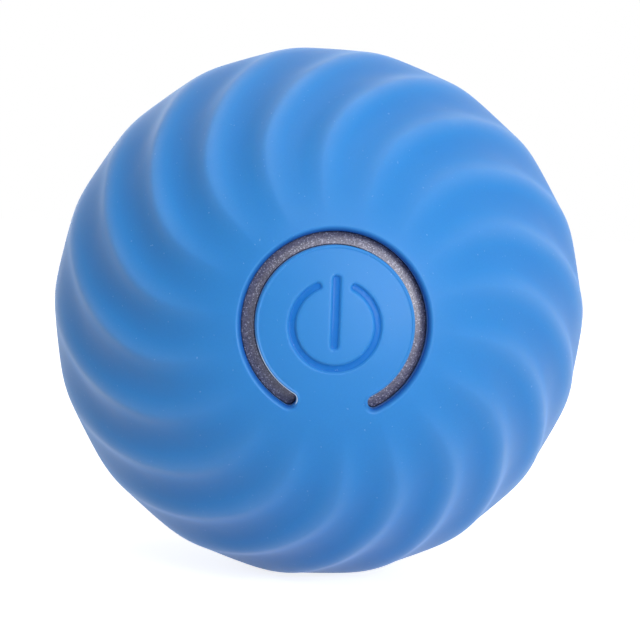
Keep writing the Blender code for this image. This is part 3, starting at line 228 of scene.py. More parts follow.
def soft_roll(depth, reach, drop):
    """The drop of a broad, soft edge that dies out into the surface."""
    return drop * (1 - depth / reach) ** OUTER_POWER if depth < reach else 0.0


def rolled_drops(count, distances, loops, radius):
    """The drop of every point, where the loops lie at those distances from a rounded edge."""
    drops = [0.0] * count
    for away, places in zip(distances, loops):
        for place in places:
            drops[place] = roll(away, radius)
    return drops


def y_on(ball, x, z, side):
    """The y of a ball's surface there, in front (side -1) or behind (side 1)."""
    return side * math.sqrt(ball**2 - x**2 - z**2)


class Skin:
    """The points and faces of one piece while it is put together, in millimetres.

    The crest value of a point is 0 to 1 for a ridge's painted pale sheen, partly wear, 1 to 2 for a
    painted glint on the button's thin edge, and 0 to -1 for painted shade in a deeper blue."""

    def __init__(self):
        self.points, self.faces, self.finishes, self.crest = [], [], [], []

    def add(self, points, crest=0.0):
        start = len(self.points)
        self.points += points
        self.crest += crest if isinstance(crest, list) else [crest] * len(points)
        return list(range(start, len(self.points)))

    def face(self, corners, finish=0):
        if len(set(corners)) > 2:
            self.faces.append(corners)
            self.finishes.append(finish)

    def fill(self, faces, places):
        """Adds faces whose corners are numbers in places."""
        for face in faces:
            self.face([places[i] for i in face])

    def bridge(self, first, second):
        """Joins two closed loops of the same length."""
        for i, (a, b) in enumerate(zip(first, second)):
            j = (i + 1) % len(first)
            self.face((a, first[j], second[j], b))

    def carry(self, ring, rows, turns, up=0.0):
        """Carries a ring on through circles at (off-axis distance, y), and gives the last one."""
        for off, y in rows:
            row = self.add([(x, y, z + up) for x, z in (polar(off, turn) for turn in turns)])
            self.bridge(ring, row)
            ring = row
        return ring

    def seen_along_axis(self, places):
        """The (x, z) of some of the points."""
        return [(self.points[i][0], self.points[i][2]) for i in places]

    def made(self, name, *materials):
        mesh = bpy.data.meshes.new(name)
        mesh.from_pydata([[c * MM for c in p] for p in self.points], [], self.faces)
        mesh.polygons.foreach_set("material_index", self.finishes)
        crest = mesh.attributes.new("crest", "FLOAT", "POINT")
        crest.data.foreach_set("value", self.crest)
        built = bmesh.new()
        built.from_mesh(mesh)
        bmesh.ops.recalc_face_normals(built, faces=built.faces)
        built.to_mesh(mesh)
        built.free()
        mesh.shade_smooth()
        mesh.set_sharp_from_angle(angle=math.radians(SMOOTH_ANGLE))
        for finish in materials:
            mesh.materials.append(finish)
        return linked(name, mesh)


def linked(name, content):
    """A new object of the scene."""
    thing = bpy.data.objects.new(name, content)
    bpy.context.scene.collection.objects.link(thing)
    return thing


def inside(loop, points):
    """Which of the points lie inside a closed loop."""
    found = np.zeros(len(points), bool)
    x, z = points[:, 0], points[:, 1]
    for (x0, z0), (x1, z1) in zip(loop, loop[1:] + loop[:1]):
        if z0 != z1:
            found ^= ((z0 > z) != (z1 > z)) & (x < (x1 - x0) * (z - z0) / (z1 - z0) + x0)
    return found


def grid_spots(rim, holes, points, spacing):
    """Spots of a triangular grid inside the rim, outside the holes and clear of the points."""
    tree = kdtree.KDTree(len(points))
    for i, (x, z) in enumerate(points):
        tree.insert((x, z, 0.0), i)
    tree.balance()
    count = int(max(math.hypot(*p) for p in rim) / spacing) + 1
    last_row = int(count / ROW_PITCH)
    grid = [
        ((i + row % 2 / 2) * spacing, row * spacing * ROW_PITCH)
        for row in range(-last_row, last_row + 1)
        for i in range(-count, count + 1)
    ]
    spots = np.array(grid)
    kept = inside(rim, spots)
    for hole in holes:
        kept &= ~inside(hole, spots)
    return [(x, z) for x, z in spots[kept] if tree.find((x, z, 0.0))[2] > CLEARANCE * spacing]


def tiled(rim, holes, guides, spacing):
    """Fills the rim with even triangles that follow the guide loops and stay out of the holes.
    Gives the points, the triangles, and where each loop's points are: rim first, then holes, guides."""
    loops = [rim, *holes, *guides]
    points, edges, starts = [], [], []
    for loop in loops:
        start = len(points)
        starts.append(start)
        points += loop
        edges += [(start + i, start + (i + 1) % len(loop)) for i in range(len(loop))]
    points += grid_spots(rim, holes, points, spacing)
    made = delaunay_2d_cdt([Vector(p) for p in points], edges, [], 1, SAME_POINT)
    corners, triangles, sources = made[0], made[2], made[3]
    place = {old: new for new, olds in enumerate(sources) for old in olds}
    where = [[place[start + i] for i in range(len(loop))] for start, loop in zip(starts, loops)]
    flat = [(p.x, p.y) for p in corners]
    centres = np.array([np.mean([flat[i] for i in face], axis=0) for face in triangles])
    closed = np.zeros(len(centres), bool)
    for hole in holes:
        closed |= inside(hole, centres)
    return flat, [face for face, shut in zip(triangles, closed) if not shut], where


def band_outline(radius, half, start, end, steps, cap_steps):
    """The outline of an arc with round ends, half being half its width, and the side of each point:
    1 outside, -1 inside, and a smooth change round the ends."""
    loop, sides = [], []
    for side, first, last in ((1, start, end), (-1, end, start)):
        loop += [polar(radius + side * half, first + (last - first) * i / steps) for i in range(steps + 1)]
        sides += [side] * (steps + 1)
        centre = polar(radius, last)
        for i in range(1, cap_steps):
            turn = 180.0 * i / cap_steps
            x, z = polar(half, last + turn + (0.0 if side > 0 else 180.0))
            loop.append((centre[0] + x, centre[1] + z))
            sides.append(side * math.cos(math.radians(turn)))
    return loop, sides


def slot_loop(half):
    """The outline of the C-shaped slot, half being half its width, and each point's outer share:
    1 on the cover's side and 0 on the button's side."""
    right, left = BRIDGE_HALF - 90.0, 270.0 - BRIDGE_HALF
    loop, sides = band_outline(SLOT_MIDDLE, half, right, left, SLOT_ARC_STEPS, SLOT_CAP_STEPS)
    return loop, [eased(side, *OUTER_SHARE) for side in sides]


def at_sign(loop):
    return [(x + SIGN_CENTRE[0], z + SIGN_CENTRE[1]) for x, z in loop]


def sign_arc(grow):
    """The power sign's broken ring, grown by that much."""
    left, right = 90.0 + SIGN_GAP, 450.0 - SIGN_GAP
    loop, _ = band_outline(SIGN_RADIUS, SIGN_HALF + grow, left, right, SIGN_ARC_STEPS, SIGN_CAP_STEPS)
    return at_sign(loop)


def sign_bar(grow):
    """The power sign's upright bar, grown by that much."""
    half = BAR_HALF + grow
    top, end = BAR_TOP - BAR_HALF, BAR_END + BAR_HALF
    loop = []
    for middle, side in ((top, 1), (end, -1)):
        for i in range(SIGN_CAP_STEPS + 1):
            x, z = polar(half, (0.0 if side > 0 else 180.0) + 180.0 * i / SIGN_CAP_STEPS)
            loop.append((x, middle + z))
        loop += [(-side * half, middle - side * (top - end) * i / BAR_STEPS) for i in range(1, BAR_STEPS)]
    return at_sign(loop)


def from_sign(x, z):
    """How far a point is outside the power sign's outline, and below 0 inside it."""
    x, z = x - SIGN_CENTRE[0], z - SIGN_CENTRE[1]
    bar = math.hypot(x, z - min(max(z, BAR_END + BAR_HALF), BAR_TOP - BAR_HALF)) - BAR_HALF
    from_top = abs((math.degrees(math.atan2(x, z)) + 180.0) % 360.0 - 180.0)
    if from_top >= SIGN_GAP:
        arc = abs(math.hypot(x, z) - SIGN_RADIUS) - SIGN_HALF
    else:
        cap_x, cap_z = polar(SIGN_RADIUS, 90.0 - SIGN_GAP)
        arc = math.hypot(abs(x) - cap_x, z - cap_z) - SIGN_HALF
    return min(bar, arc)


def port_outline(gap):
    """The flap's outline grown by a gap: a disc with a strap on rounded shoulders."""
    shoulder = math.degrees(math.asin((STRAP_HALF + STRAP_FILLET) / (FLAP_RADIUS + STRAP_FILLET)))
    centre_x = STRAP_HALF + STRAP_FILLET
    centre_z = math.sqrt((FLAP_RADIUS + STRAP_FILLET) ** 2 - centre_x**2)
    corner_x, corner_z = STRAP_HALF - STRAP_CORNER, STRAP_TOP - STRAP_CORNER
    half, corner = STRAP_HALF + gap, STRAP_CORNER + gap
    sweep = 360.0 - 2 * shoulder
    disc = range(DISC_STEPS + 1)
    loop = [polar(FLAP_RADIUS + gap, 90.0 + shoulder + sweep * i / DISC_STEPS) for i in disc]
    for side in (1, -1):
        bend = []
        for i in range(1, FILLET_STEPS + 1):
            x, z = polar(STRAP_FILLET - gap, 180.0 + (90.0 - shoulder) * (1 - i / FILLET_STEPS))
            bend.append((side * (centre_x + x), centre_z + z))
        rise = corner_z - centre_z
        bend += [(side * half, centre_z + rise * i / STRAP_STEPS) for i in range(1, STRAP_STEPS)]
        for i in range(CORNER_STEPS + 1):
            x, z = polar(corner, 90.0 * i / CORNER_STEPS)
            bend.append((side * (corner_x + x), corner_z + z))
        if side > 0:
            top = range(1, TOP_STEPS)
            loop += bend + [(corner_x - 2 * corner_x * i / TOP_STEPS, STRAP_TOP + gap) for i in top]
        else:
            loop += bend[::-1]
    return loop


def edge_glint_at(x, z):
    """How strongly the painted glint lies on the button's edge there."""
    turn = math.degrees(math.atan2(z, x)) % 360.0
    rise = eased(turn, GLINT_FROM, GLINT_FROM + GLINT_RISE)
    return rise * (1 - eased(turn, GLINT_TO - GLINT_FALL, GLINT_TO))


def add_front(skin, rim_turns):
    """The smooth front cap with the button, the slot's rolled edges and the sunk power sign."""
    rim = [polar(FRONT_CAP, turn) for turn in rim_turns]
    slot = [slot_loop(SLOT_HALF + away) for away in SLOT_LOOPS]
    guides = [loop for loop, _ in slot[1:]]
    guides += [make(grow) for grow in SIGN_LOOPS for make in (sign_arc, sign_bar)]
    flat, faces, where = tiled(rim, [slot[0][0]], guides, FRONT_SPACING)
    drops, crest = [0.0] * len(flat), [0.0] * len(flat)
    for away, (_, shares), places in zip(SLOT_LOOPS, slot, where[1 : 1 + len(slot)]):
        bead = BEAD_HEIGHT * math.exp(-(((away - BEAD_AT) / BEAD_WIDTH) ** 2))
        outer = soft_roll(away, OUTER_ROLL, OUTER_DROP)
        for place, share in zip(places, shares):
            drops[place] = share * outer + (1 - share) * (roll(away, INNER_ROLL) - bead)
            # a painted glint on the button's thin edge, and painted shade along the slot's outer edge
            crest[place] = 2 * (1 - share) * edge_glint_at(*flat[place]) if away < GLINT_WIDTH else 0.0
            crest[place] -= share * max(1 - away / SHADE_WIDTH, 0.0)
    points = []
    for (x, z), drop in zip(flat, drops):
        sunk = SIGN_SINK * eased(-from_sign(x, z), -SIGN_SOFT, SIGN_SOFT)
        points.append((x, y_on(BALL - drop - sunk, x, z, -1), z))
    places = skin.add(points, crest)
    for face in faces:
        x, z = np.mean([flat[i] for i in face], axis=0)
        skin.face([places[i] for i in face], 1 if from_sign(x, z) < SIGN_FLOOR_EDGE else 0)
    edge = [places[i] for i in where[1]]
    wall = edge
    for step in range(1, SLOT_WALL_ROWS + 1):
        row = []
        for i in edge:
            x, y, z = skin.points[i]
            row.append((x, y + (y_on(TONGUE_BALL, x, z, -1) - y) * step / SLOT_WALL_ROWS, z))
        row = skin.add(row)
        skin.bridge(wall, row)
        wall = row
    return [places[i] for i in where[0]], wall


def add_rear(skin, rim):
    """The smooth rear cap round the flap's opening, with a dip to lift the flap by."""
    holes = [port_outline(FLAP_GAP)]
    guides = [port_outline(FLAP_GAP + away) for away in EDGE_LOOPS[1:]]
    flat, faces, where = tiled(rim, holes, guides, REAR_SPACING)
    drops = rolled_drops(len(flat), EDGE_LOOPS, where[1:], EDGE_ROLL)
    points = []
    for (x, z), drop in zip(flat, drops):
        drop += rear_flutes_at(x, z) + thumb_dip(x, z)
        points.append((x, y_on(BALL - drop, x, z, 1), z))
    places = skin.add(points)
    skin.fill(faces, places)
    edge = [places[i] for i in where[1]]
    wall = skin.add([(x, y_on(INNER_BALL, x, z, 1), z) for x, z in skin.seen_along_axis(edge)])
    skin.bridge(edge, wall)
    return [places[i] for i in where[0]], wall


def thumb_dip(x, z):
    """A shallow dip under the flap's lower edge."""
    away = math.hypot(x, z + THUMB_AT) / THUMB_RADIUS
    return THUMB_DEPTH * (1 - away**2) ** 2 if away < 1 else 0.0


def row_angle(row):
    """How far from the front pole a row of the fluted wall lies."""
    first = math.degrees(math.asin(FRONT_CAP / BALL))
    last = 180.0 - math.degrees(math.asin(REAR_CAP / BALL))
    return first + (last - first) * row / ROWS


def flute_places():
    """The flute of each column, and its place across that flute."""
    steps = [2 * i / COLUMNS - 1 for i in range(COLUMNS)]
    across = [0.5 * math.copysign(abs(t) ** CROWDING, t) for t in steps]
    return [(flute, place) for flute in range(FLUTES) for place in across]


def column_turn(from_pole, flute, across):
    """The angle of a column, that many degrees from the front pole."""
    return ridge_turn(from_pole) + 360.0 / FLUTES * (flute + across)


def flute_row(from_pole):
    """One row of the fluted wall, and the crest value of each of its points."""
    near_pole = min(from_pole, 180.0 - from_pole)
    strength = min(max((near_pole - CREST_IN[0]) / (CREST_IN[1] - CREST_IN[0]), 0.0), 1.0)
    width = CREST_WIDTH + CREST_SPREAD * (1 - strength)
    tilt = math.radians(from_pole)
    circle, crest = [], []
    for flute, across in flute_places():
        radius = BALL - flute_drop(from_pole, across)
        x, z = polar(radius * math.sin(tilt), column_turn(from_pole, flute, across))
        circle.append((x, -radius * math.cos(tilt), z))
        # painted shade: the hollows get a deeper blue
        hollow = HOLLOW_SHADE * eased(abs(across), *HOLLOW_EDGE)
        crest.append(strength * (math.exp(-((across / width) ** 2)) - hollow))
    return circle, crest


def add_flutes(skin, ring):
    """The fluted wall from the front cap on, but for its last row, which is the rear cap's rim."""
    for row in range(1, ROWS):
        places = skin.add(*flute_row(row_angle(row)))
        skin.bridge(ring, places)
        ring = places
    return ring


def add_inner_cap(skin, flat, levels, faces, fixed):
    """Adds a cap of the inner face at those levels of y. The fixed points are there already."""
    places = {}
    for i, ((x, z), y) in enumerate(zip(flat, levels)):
        places[i] = fixed[i] if i in fixed else skin.add([(x, y, z)])[0]
    skin.fill(faces, places)
    return places


def add_inside(skin, slot_wall, port_wall):
    """The cover's inner face: a well under the button, and a plain ball behind."""
    turns = even_turns(INNER_COLUMNS)
    slot = skin.seen_along_axis(slot_wall)
    rim = [polar(FRONT_CAP, turn) for turn in turns]
    well = [polar(WELL_EDGE, turn) for turn in turns]
    flat, faces, where = tiled(rim, [slot], [well], INNER_FRONT_SPACING)
    balls = [TONGUE_BALL] * len(flat)
    for i in where[0]:
        balls[i] = INNER_BALL
    levels = [y_on(ball, x, z, -1) for ball, (x, z) in zip(balls, flat)]
    front = add_inner_cap(skin, flat, levels, faces, dict(zip(where[1], slot_wall)))

    port = skin.seen_along_axis(port_wall)
    rear_rim = [polar(REAR_CAP, turn) for turn in turns]
    flat, faces, rear_where = tiled(rear_rim, [port], [], INNER_REAR_SPACING)
    levels = [y_on(INNER_BALL, x, z, 1) for x, z in flat]
    rear = add_inner_cap(skin, flat, levels, faces, dict(zip(rear_where[1], port_wall)))

    first = math.asin(FRONT_CAP / INNER_BALL)
    last = math.pi - math.asin(REAR_CAP / INNER_BALL)
    tilts = [first + (last - first) * row / INNER_ROWS for row in range(1, INNER_ROWS)]
    rows = [(INNER_BALL * math.sin(tilt), -INNER_BALL * math.cos(tilt)) for tilt in tilts]
    ring = skin.carry([front[i] for i in where[0]], rows, turns)
    skin.bridge(ring, [rear[i] for i in rear_where[0]])


def make_cover_skin(silicone, sign_floor):
    """The moulded cover with its button, in one piece of silicone."""
    skin = Skin()
    front_turns = [column_turn(row_angle(0), *place) for place in flute_places()]
    front_rim, slot_wall = add_front(skin, front_turns)
    ring = add_flutes(skin, front_rim)
    last_circle, _ = flute_row(row_angle(ROWS))
    rear_rim, port_wall = add_rear(skin, [(x, z) for x, _, z in last_circle])
    skin.bridge(ring, rear_rim)
    add_inside(skin, slot_wall, port_wall)
    piece = skin.made("cover_skin", silicone, sign_floor)
    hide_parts("silicone_cover", "power_button")
    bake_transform(piece)


def make_light_ring(smoked):
    """The smoked lens with the raised C that glows in the slot."""
    skin = Skin()
    turns = even_turns(LENS_COLUMNS)
    edge = [polar(LENS_EDGE, turn) for turn in turns]
    well = [polar(LENS_WELL, turn) for turn in turns]
    rib, _ = slot_loop(RIB_HALF)
    flat, faces, where = tiled(edge, [well, rib], [], LENS_SPACING)
    places = skin.add([(x, y_on(LENS_BALL, x, z, -1), z) for x, z in flat])
    skin.fill(faces, places)

    loops = [slot_loop(RIB_HALF - inset)[0] for inset in RIB_LOOPS]
    top_flat, top_faces, top_where = tiled(loops[0], [], loops[1:], RIB_SPACING)
    drops = rolled_drops(len(top_flat), RIB_LOOPS, top_where, RIB_ROLL)
    top = skin.add([(x, y_on(RIB_BALL - drop, x, z, -1), z) for (x, z), drop in zip(top_flat, drops)])
    skin.fill(top_faces, top)
    skin.bridge([places[i] for i in where[2]], [top[i] for i in top_where[0]])

    profile = [(LENS_EDGE, LENS_BALL - LENS_FLANGE), (LENS_CORE, LENS_BALL - LENS_FLANGE)]
    inwards = PIN_RADIUS - LENS_CORE
    profile += [(LENS_CORE + inwards * i / LENS_ROWS, LENS_INNER_BALL) for i in range(LENS_ROWS + 1)]
    rows = [(off, y_on(ball, off, 0, -1)) for off, ball in profile]
    rows += [(PIN_RADIUS, PIN_END), (STEM_BORE, PIN_END), (STEM_BORE, WELL_FLOOR), (LENS_WELL, WELL_FLOOR)]
    ring = skin.carry([places[i] for i in where[0]], rows, turns)
    skin.bridge(ring, [places[i] for i in where[1]])
    piece = skin.made("light_ring", smoked)
    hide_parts("light_lens")
    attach(piece, "shell")


def hinge_groove(z):
    """The thin place where the strap bends."""
    return GROOVE_DEPTH * math.exp(-(((z - STRAP_HINGE) / GROOVE_WIDTH) ** 2))


def add_flap_face(skin):
    """The outer face of the flap and its strap, with a rolled edge. Gives the edge."""
    insets = EDGE_LOOPS[:-1]
    loops = [port_outline(-inset) for inset in insets]
    flat, faces, where = tiled(loops[0], [], loops[1:], REAR_SPACING)
    drops = rolled_drops(len(flat), insets, where, EDGE_ROLL)
    points = []
    for (x, z), drop in zip(flat, drops):
        drop += rear_flutes_at(x, z) + hinge_groove(z) * eased(z, *GROOVE_FROM)
        points.append((x, y_on(BALL - drop, x, z, 1), z))
    places = skin.add(points)
    skin.fill(faces, places)
    return [places[i] for i in where[0]]


def add_flap_underside(skin, edge):
    """The inner face, the lip round the port with the dome in it, and the strap's peg."""
    turns = even_turns(LIP_COLUMNS)
    lip = [polar(LIP_OUTER, turn) for turn in turns]
    peg_at = (STRAP_HINGE + STRAP_TOP) / 2
    peg = [(x, z + peg_at) for x, z in (polar(PEG_RADIUS, turn) for turn in turns[::PEG_SKIP])]
    outline = skin.seen_along_axis(edge)
    flat, faces, where = tiled(outline, [lip, peg], [], FLAP_INNER_SPACING)
    inner_y = [y_on(INNER_BALL, x, z, 1) + hinge_groove(z) * GROOVE_UNDER for x, z in flat]
    under = skin.add([(x, y, z) for (x, z), y in zip(flat, inner_y)])
    skin.fill(faces, under)
    skin.bridge(edge, [under[i] for i in where[0]])

    rows = [(LIP_OUTER, LIP_END + LIP_LEAD[1]), (LIP_OUTER - LIP_LEAD[0], LIP_END)]
    rows += [(LIP_INNER + LIP_EDGE, LIP_END), (LIP_INNER, LIP_END + LIP_EDGE)]
    dome = [LIP_INNER * (1 - i / DOME_ROWS) for i in range(DOME_ROWS)]
    rows += [(off, y_on(FLAP_DOME_BALL, off, 0, 1)) for off in dome]
    ring = skin.carry([under[i] for i in where[1]], rows, turns)
    crown = skin.add([(0.0, FLAP_DOME_BALL, 0.0)])[0]
    for i, place in enumerate(ring):
        skin.face((place, ring[(i + 1) % len(ring)], crown))

    peg_rows = [(PEG_RADIUS * share, y) for share, y in PEG_PROFILE]
    skin.face(skin.carry([under[i] for i in where[2]], peg_rows, turns[::PEG_SKIP], peg_at))


def make_flap_skin(silicone):
    """The soft flap over the charging port, its strap, and the peg that holds it in the shell."""
    skin = Skin()
    add_flap_underside(skin, add_flap_face(skin))
    piece = skin.made("flap_skin", silicone)
    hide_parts("port_flap", "flap_anchor")
    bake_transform(piece)


def make_port_contacts(gold):
    """Two rows of spring contacts on the socket's tongue."""
    low, high = (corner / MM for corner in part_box("usb_tongue"))
    skin = Skin()
    for side, face in ((1, high.z), (-1, low.z)):
        for number in range(CONTACTS):
            x = (number - (CONTACTS - 1) / 2) * CONTACT_PITCH
            outer = number in (0, CONTACTS - 1)
            front = high.y - (OUTER_CONTACT_FRONT if outer else CONTACT_FRONT)
            root, top = face - side * CONTACT_SINK, face + side * CONTACT_RISE
            add_contact(skin, x, CONTACT_WIDTH / 2, low.y + CONTACT_BACK, front, root, top)
    piece = skin.made("port_contacts", gold)
    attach(piece, "core")


def add_contact(skin, x, half, back, front, root, top):
    """One flat contact with softened long edges and ends."""
    places = []
    for y, raised in ((back, 0), (back + CONTACT_RAMP, 1), (front - CONTACT_RAMP, 1), (front, 0)):
        inner, level = (half - CONTACT_BEVEL, top) if raised else (half, root)
        row = [(x - half, y, root), (x - inner, y, level), (x + inner, y, level), (x + half, y, root)]
        places.append(skin.add(row))
    for first, second in zip(places, places[1:]):
        skin.bridge(first, second)
    skin.face(places[0])
    skin.face(places[-1])


class Nodes:
    """A short way to write a node tree. Scales are per metre."""

    def __init__(self, tree):
        self.tree = tree

    def new(self, kind, values=None, **settings):
        node = self.tree.nodes.new(kind)
        for name, value in settings.items():
            setattr(node, name, value)
        self.put_all(node, values or {})
        return node

    def put(self, socket, value):
        if isinstance(value, bpy.types.NodeSocket):
            self.tree.links.new(value, socket)
        else:
            socket.default_value = value

    def put_all(self, node, values):
        for name, value in values.items():
            self.put(node.inputs[name], value)

    def noise(self, scale, detail, rough=0.5, where=None):
        values = {"Scale": scale, "Detail": detail, "Roughness": rough, "Vector": where or self.place()}
        return self.new("ShaderNodeTexNoise", values).outputs["Fac"]

    def place(self):
        return self.new("ShaderNodeTexCoord").outputs["Object"]

    def ranged(self, value, low, high, to_low=0.0, to_high=1.0):
        values = {"Value": value, "From Min": low, "From Max": high, "To Min": to_low, "To Max": to_high}
        return self.new("ShaderNodeMapRange", values).outputs["Result"]

    def maths(self, operation, first, second):
        node = self.new("ShaderNodeMath", operation=operation)
        self.put(node.inputs[0], first)
        self.put(node.inputs[1], second)
        return node.outputs[0]

    def mixed(self, share, first, second):
        """A mix of two colours. Sockets 0, 6 and 7 are the share and the colours, and 2 is the result."""
        node = self.new("ShaderNodeMix", data_type="RGBA")
        for socket, value in ((0, share), (6, first), (7, second)):
            self.put(node.inputs[socket], value)
        return node.outputs[2]


def linear(red, green, blue):
    """A colour written as on a screen, from 0 to 255."""
    parts = [part / 255.0 for part in (red, green, blue)]
    return (*[p / 12.92 if p <= 0.04045 else ((p + 0.055) / 1.055) ** 2.4 for p in parts], 1.0)


SILICONE_BLUE, SIGN_BLUE = linear(40, 122, 192), linear(22, 104, 182)
# painted pale sheen on the ridges, partly wear; the ridges also get a real coat
RIDGE_SHEEN_BLUE, RIDGE_SHEEN_SHARE, RIDGE_COAT = linear(134, 172, 214), 0.14, 0.38
# painted sheen: lighter and bluer at a grazing view
GRAZING_SHEEN_BLUE, GRAZING_SHEEN_SHARE, GRAZING_SHEEN_POWER = linear(60, 160, 255), 0.45, 3.0
# painted shade in the hollows and round the slot
PAINTED_SHADE_BLUE, PAINTED_SHADE_SHARE = linear(10, 56, 140), 0.85
# painted glint on the button's thin edge
EDGE_GLINT, EDGE_GLINT_SHARE = linear(206, 226, 250), 0.9
DUST, DUST_SHARE = linear(170, 200, 235), 0.22
SMOKE_DARK, SMOKE_LIGHT = linear(50, 51, 76), linear(98, 95, 118)
# painted glints on some facets of the smoked plastic
SPARK_GLINT, SPARK_GLINT_SHARE = linear(205, 206, 224), 0.45
NOISE_SPAN, WIDE_NOISE_SPAN = (0.35, 0.65), (0.3, 0.7)  # where most of a noise's values lie
PATCH_SHARE, GRAIN_SHARE = 0.6, 0.4
WHITE = (1.0, 1.0, 1.0, 1.0)


def make_grain_group():
    """Uneven colour, uneven gloss and fine grain, which every moulded or machined finish has."""
    tree = bpy.data.node_groups.new("surface_grain", "ShaderNodeTree")
    face = tree.interface
    face.new_socket("Colour", in_out="INPUT", socket_type="NodeSocketColor")
    for name in ("Mottle", "Patch Scale", "Grain Scale", "Gloss", "Gloss Change"):
        face.new_socket(name, in_out="INPUT", socket_type="NodeSocketFloat")
    face.new_socket("Colour", in_out="OUTPUT", socket_type="NodeSocketColor")
    face.new_socket("Roughness", in_out="OUTPUT", socket_type="NodeSocketFloat")
    face.new_socket("Height", in_out="OUTPUT", socket_type="NodeSocketFloat")
    nodes = Nodes(tree)
    given = nodes.new("NodeGroupInput").outputs
    patches = nodes.noise(given["Patch Scale"], detail=4.0, rough=0.6)
    grain = nodes.noise(given["Grain Scale"], detail=2.0, rough=0.6)
    shares = nodes.maths("MULTIPLY", patches, PATCH_SHARE), nodes.maths("MULTIPLY", grain, GRAIN_SHARE)
    uneven = nodes.ranged(nodes.maths("ADD", *shares), *NOISE_SPAN, -1.0, 1.0)
    lift = nodes.maths("ADD", 1.0, nodes.maths("MULTIPLY", uneven, given["Mottle"]))
    scaled = nodes.new("ShaderNodeVectorMath", operation="SCALE")
    nodes.put(scaled.inputs[0], given["Colour"])
    nodes.put(scaled.inputs["Scale"], lift)
    change = nodes.ranged(patches, *WIDE_NOISE_SPAN, -1.0, 1.0)
    gloss = nodes.maths("ADD", given["Gloss"], nodes.maths("MULTIPLY", change, given["Gloss Change"]))
    nodes.new("NodeGroupOutput", {"Colour": scaled.outputs[0], "Roughness": gloss, "Height": grain})
    return tree


GRAIN = make_grain_group()


def material(name):
    """A new material, its node tree and its shader."""
    made = bpy.data.materials.new(name)
    made.use_nodes = True
    return made, Nodes(made.node_tree), made.node_tree.nodes["Principled BSDF"]


def grained(nodes, shader, colour, gloss, mottle, patch, grain, change):
    """Leads a colour and a gloss through the shared grain to the shader. Gives the group's outputs."""
    values = {
        "Colour": colour, "Mottle": mottle, "Patch Scale": patch,
        "Grain Scale": grain, "Gloss": gloss, "Gloss Change": change,
    }
    out = nodes.new("ShaderNodeGroup", values, node_tree=GRAIN).outputs
    nodes.put_all(shader, {"Base Color": out["Colour"], "Roughness": out["Roughness"]})
    return out


def bumped(nodes, shader, height, strength, depth):
    """A bump of that depth in millimetres."""
    values = {"Strength": strength, "Distance": depth * MM, "Height": height}
    nodes.put(shader.inputs["Normal"], nodes.new("ShaderNodeBump", values).outputs["Normal"])


def silicone_finish(name, colour, gloss, shine):
    """Soft blue silicone: a painted pale sheen on the ridges, partly wear, a painted sheen at a grazing
    view, painted shade in deep blue in the hollows and round the slot, and a painted glint on the button's
    thin edge."""
    made, nodes, shader = material(name)
    crest = nodes.new("ShaderNodeAttribute", attribute_name="crest").outputs["Fac"]
    broken = nodes.ranged(nodes.noise(300.0, detail=4.0, rough=0.65), *NOISE_SPAN, 0.75, 1.0)
    # the ridges' mask: a painted pale sheen, partly wear, and the coat's weight
    sheen_and_wear = nodes.maths("MULTIPLY", nodes.ranged(crest, 0.0, 1.0), broken)
    with_ridge_sheen = nodes.mixed(nodes.maths("MULTIPLY", sheen_and_wear, RIDGE_SHEEN_SHARE), colour, RIDGE_SHEEN_BLUE)
    # painted sheen at a grazing view
    facing = nodes.new("ShaderNodeLayerWeight", {"Blend": 0.5}).outputs["Facing"]
    grazing = nodes.maths("POWER", facing, GRAZING_SHEEN_POWER)
    with_rim_sheen = nodes.mixed(nodes.maths("MULTIPLY", grazing, GRAZING_SHEEN_SHARE), with_ridge_sheen, GRAZING_SHEEN_BLUE)
    # painted shade
    shaded = nodes.mixed(nodes.ranged(crest, 0.0, -1.0, 0.0, PAINTED_SHADE_SHARE), with_rim_sheen, PAINTED_SHADE_BLUE)
    # painted glint on the button's thin edge
    toned = nodes.mixed(nodes.ranged(crest, 1.0, 2.0, 0.0, EDGE_GLINT_SHARE), shaded, EDGE_GLINT)
    specks = nodes.ranged(nodes.noise(4200.0, detail=1.0, rough=0.4), 0.76, 0.80)
    dusty = nodes.mixed(nodes.maths("MULTIPLY", specks, DUST_SHARE), toned, DUST)
    out = grained(nodes, shader, dusty, gloss, mottle=0.035, patch=95.0, grain=7000.0, change=0.06)
    nodes.put_all(shader, {
        "Specular IOR Level": shine,
        "Coat Weight": nodes.maths("MULTIPLY", sheen_and_wear, RIDGE_COAT),
        "Coat IOR": 2.2,
        "Coat Roughness": 0.72,
        "Subsurface Weight": 0.2,
        "Subsurface Radius": (0.1, 0.4, 1.0),
        "Subsurface Scale": 0.5 * MM,
        "Sheen Weight": 0.06,
        "Sheen Roughness": 0.4,
    })
    bumped(nodes, shader, out["Height"], 0.25, 0.01)
    return made


def smoked_finish(name):
    """Smoked plastic with a fine spark texture, and painted glints on some of its facets."""
    made, nodes, shader = material(name)
    cells = nodes.new("ShaderNodeTexVoronoi", {"Scale": 13000.0, "Vector": nodes.place()})
    parts = nodes.new("ShaderNodeSeparateColor", {"Color": cells.outputs["Color"]}).outputs
    tone = nodes.mixed(nodes.ranged(parts[0], 0.1, 0.9), SMOKE_DARK, SMOKE_LIGHT)
    # painted glints
    glint_cells = nodes.ranged(parts[1], 0.86, 0.94)
    with_glints = nodes.mixed(nodes.maths("MULTIPLY", glint_cells, SPARK_GLINT_SHARE), tone, SPARK_GLINT)
    out = grained(nodes, shader, with_glints, 0.38, mottle=0.10, patch=180.0, grain=5200.0, change=0.10)
    nodes.put_all(shader, {"Specular IOR Level": 0.9})
    bumped(nodes, shader, nodes.maths("ADD", out["Height"], parts[2]), 0.5, 0.02)
    return made


def plain_finish(
    name, colour, gloss, metallic=0.0, mottle=0.06, patch=140.0, grain=5000.0, bump=0.3, depth=0.01
):
    """Moulded plastic or cast metal."""
    made, nodes, shader = material(name)
    out = grained(nodes, shader, colour, gloss, mottle, patch, grain, change=0.08)
    nodes.put_all(shader, {"Metallic": metallic})
    bumped(nodes, shader, out["Height"], bump, depth)
    return made


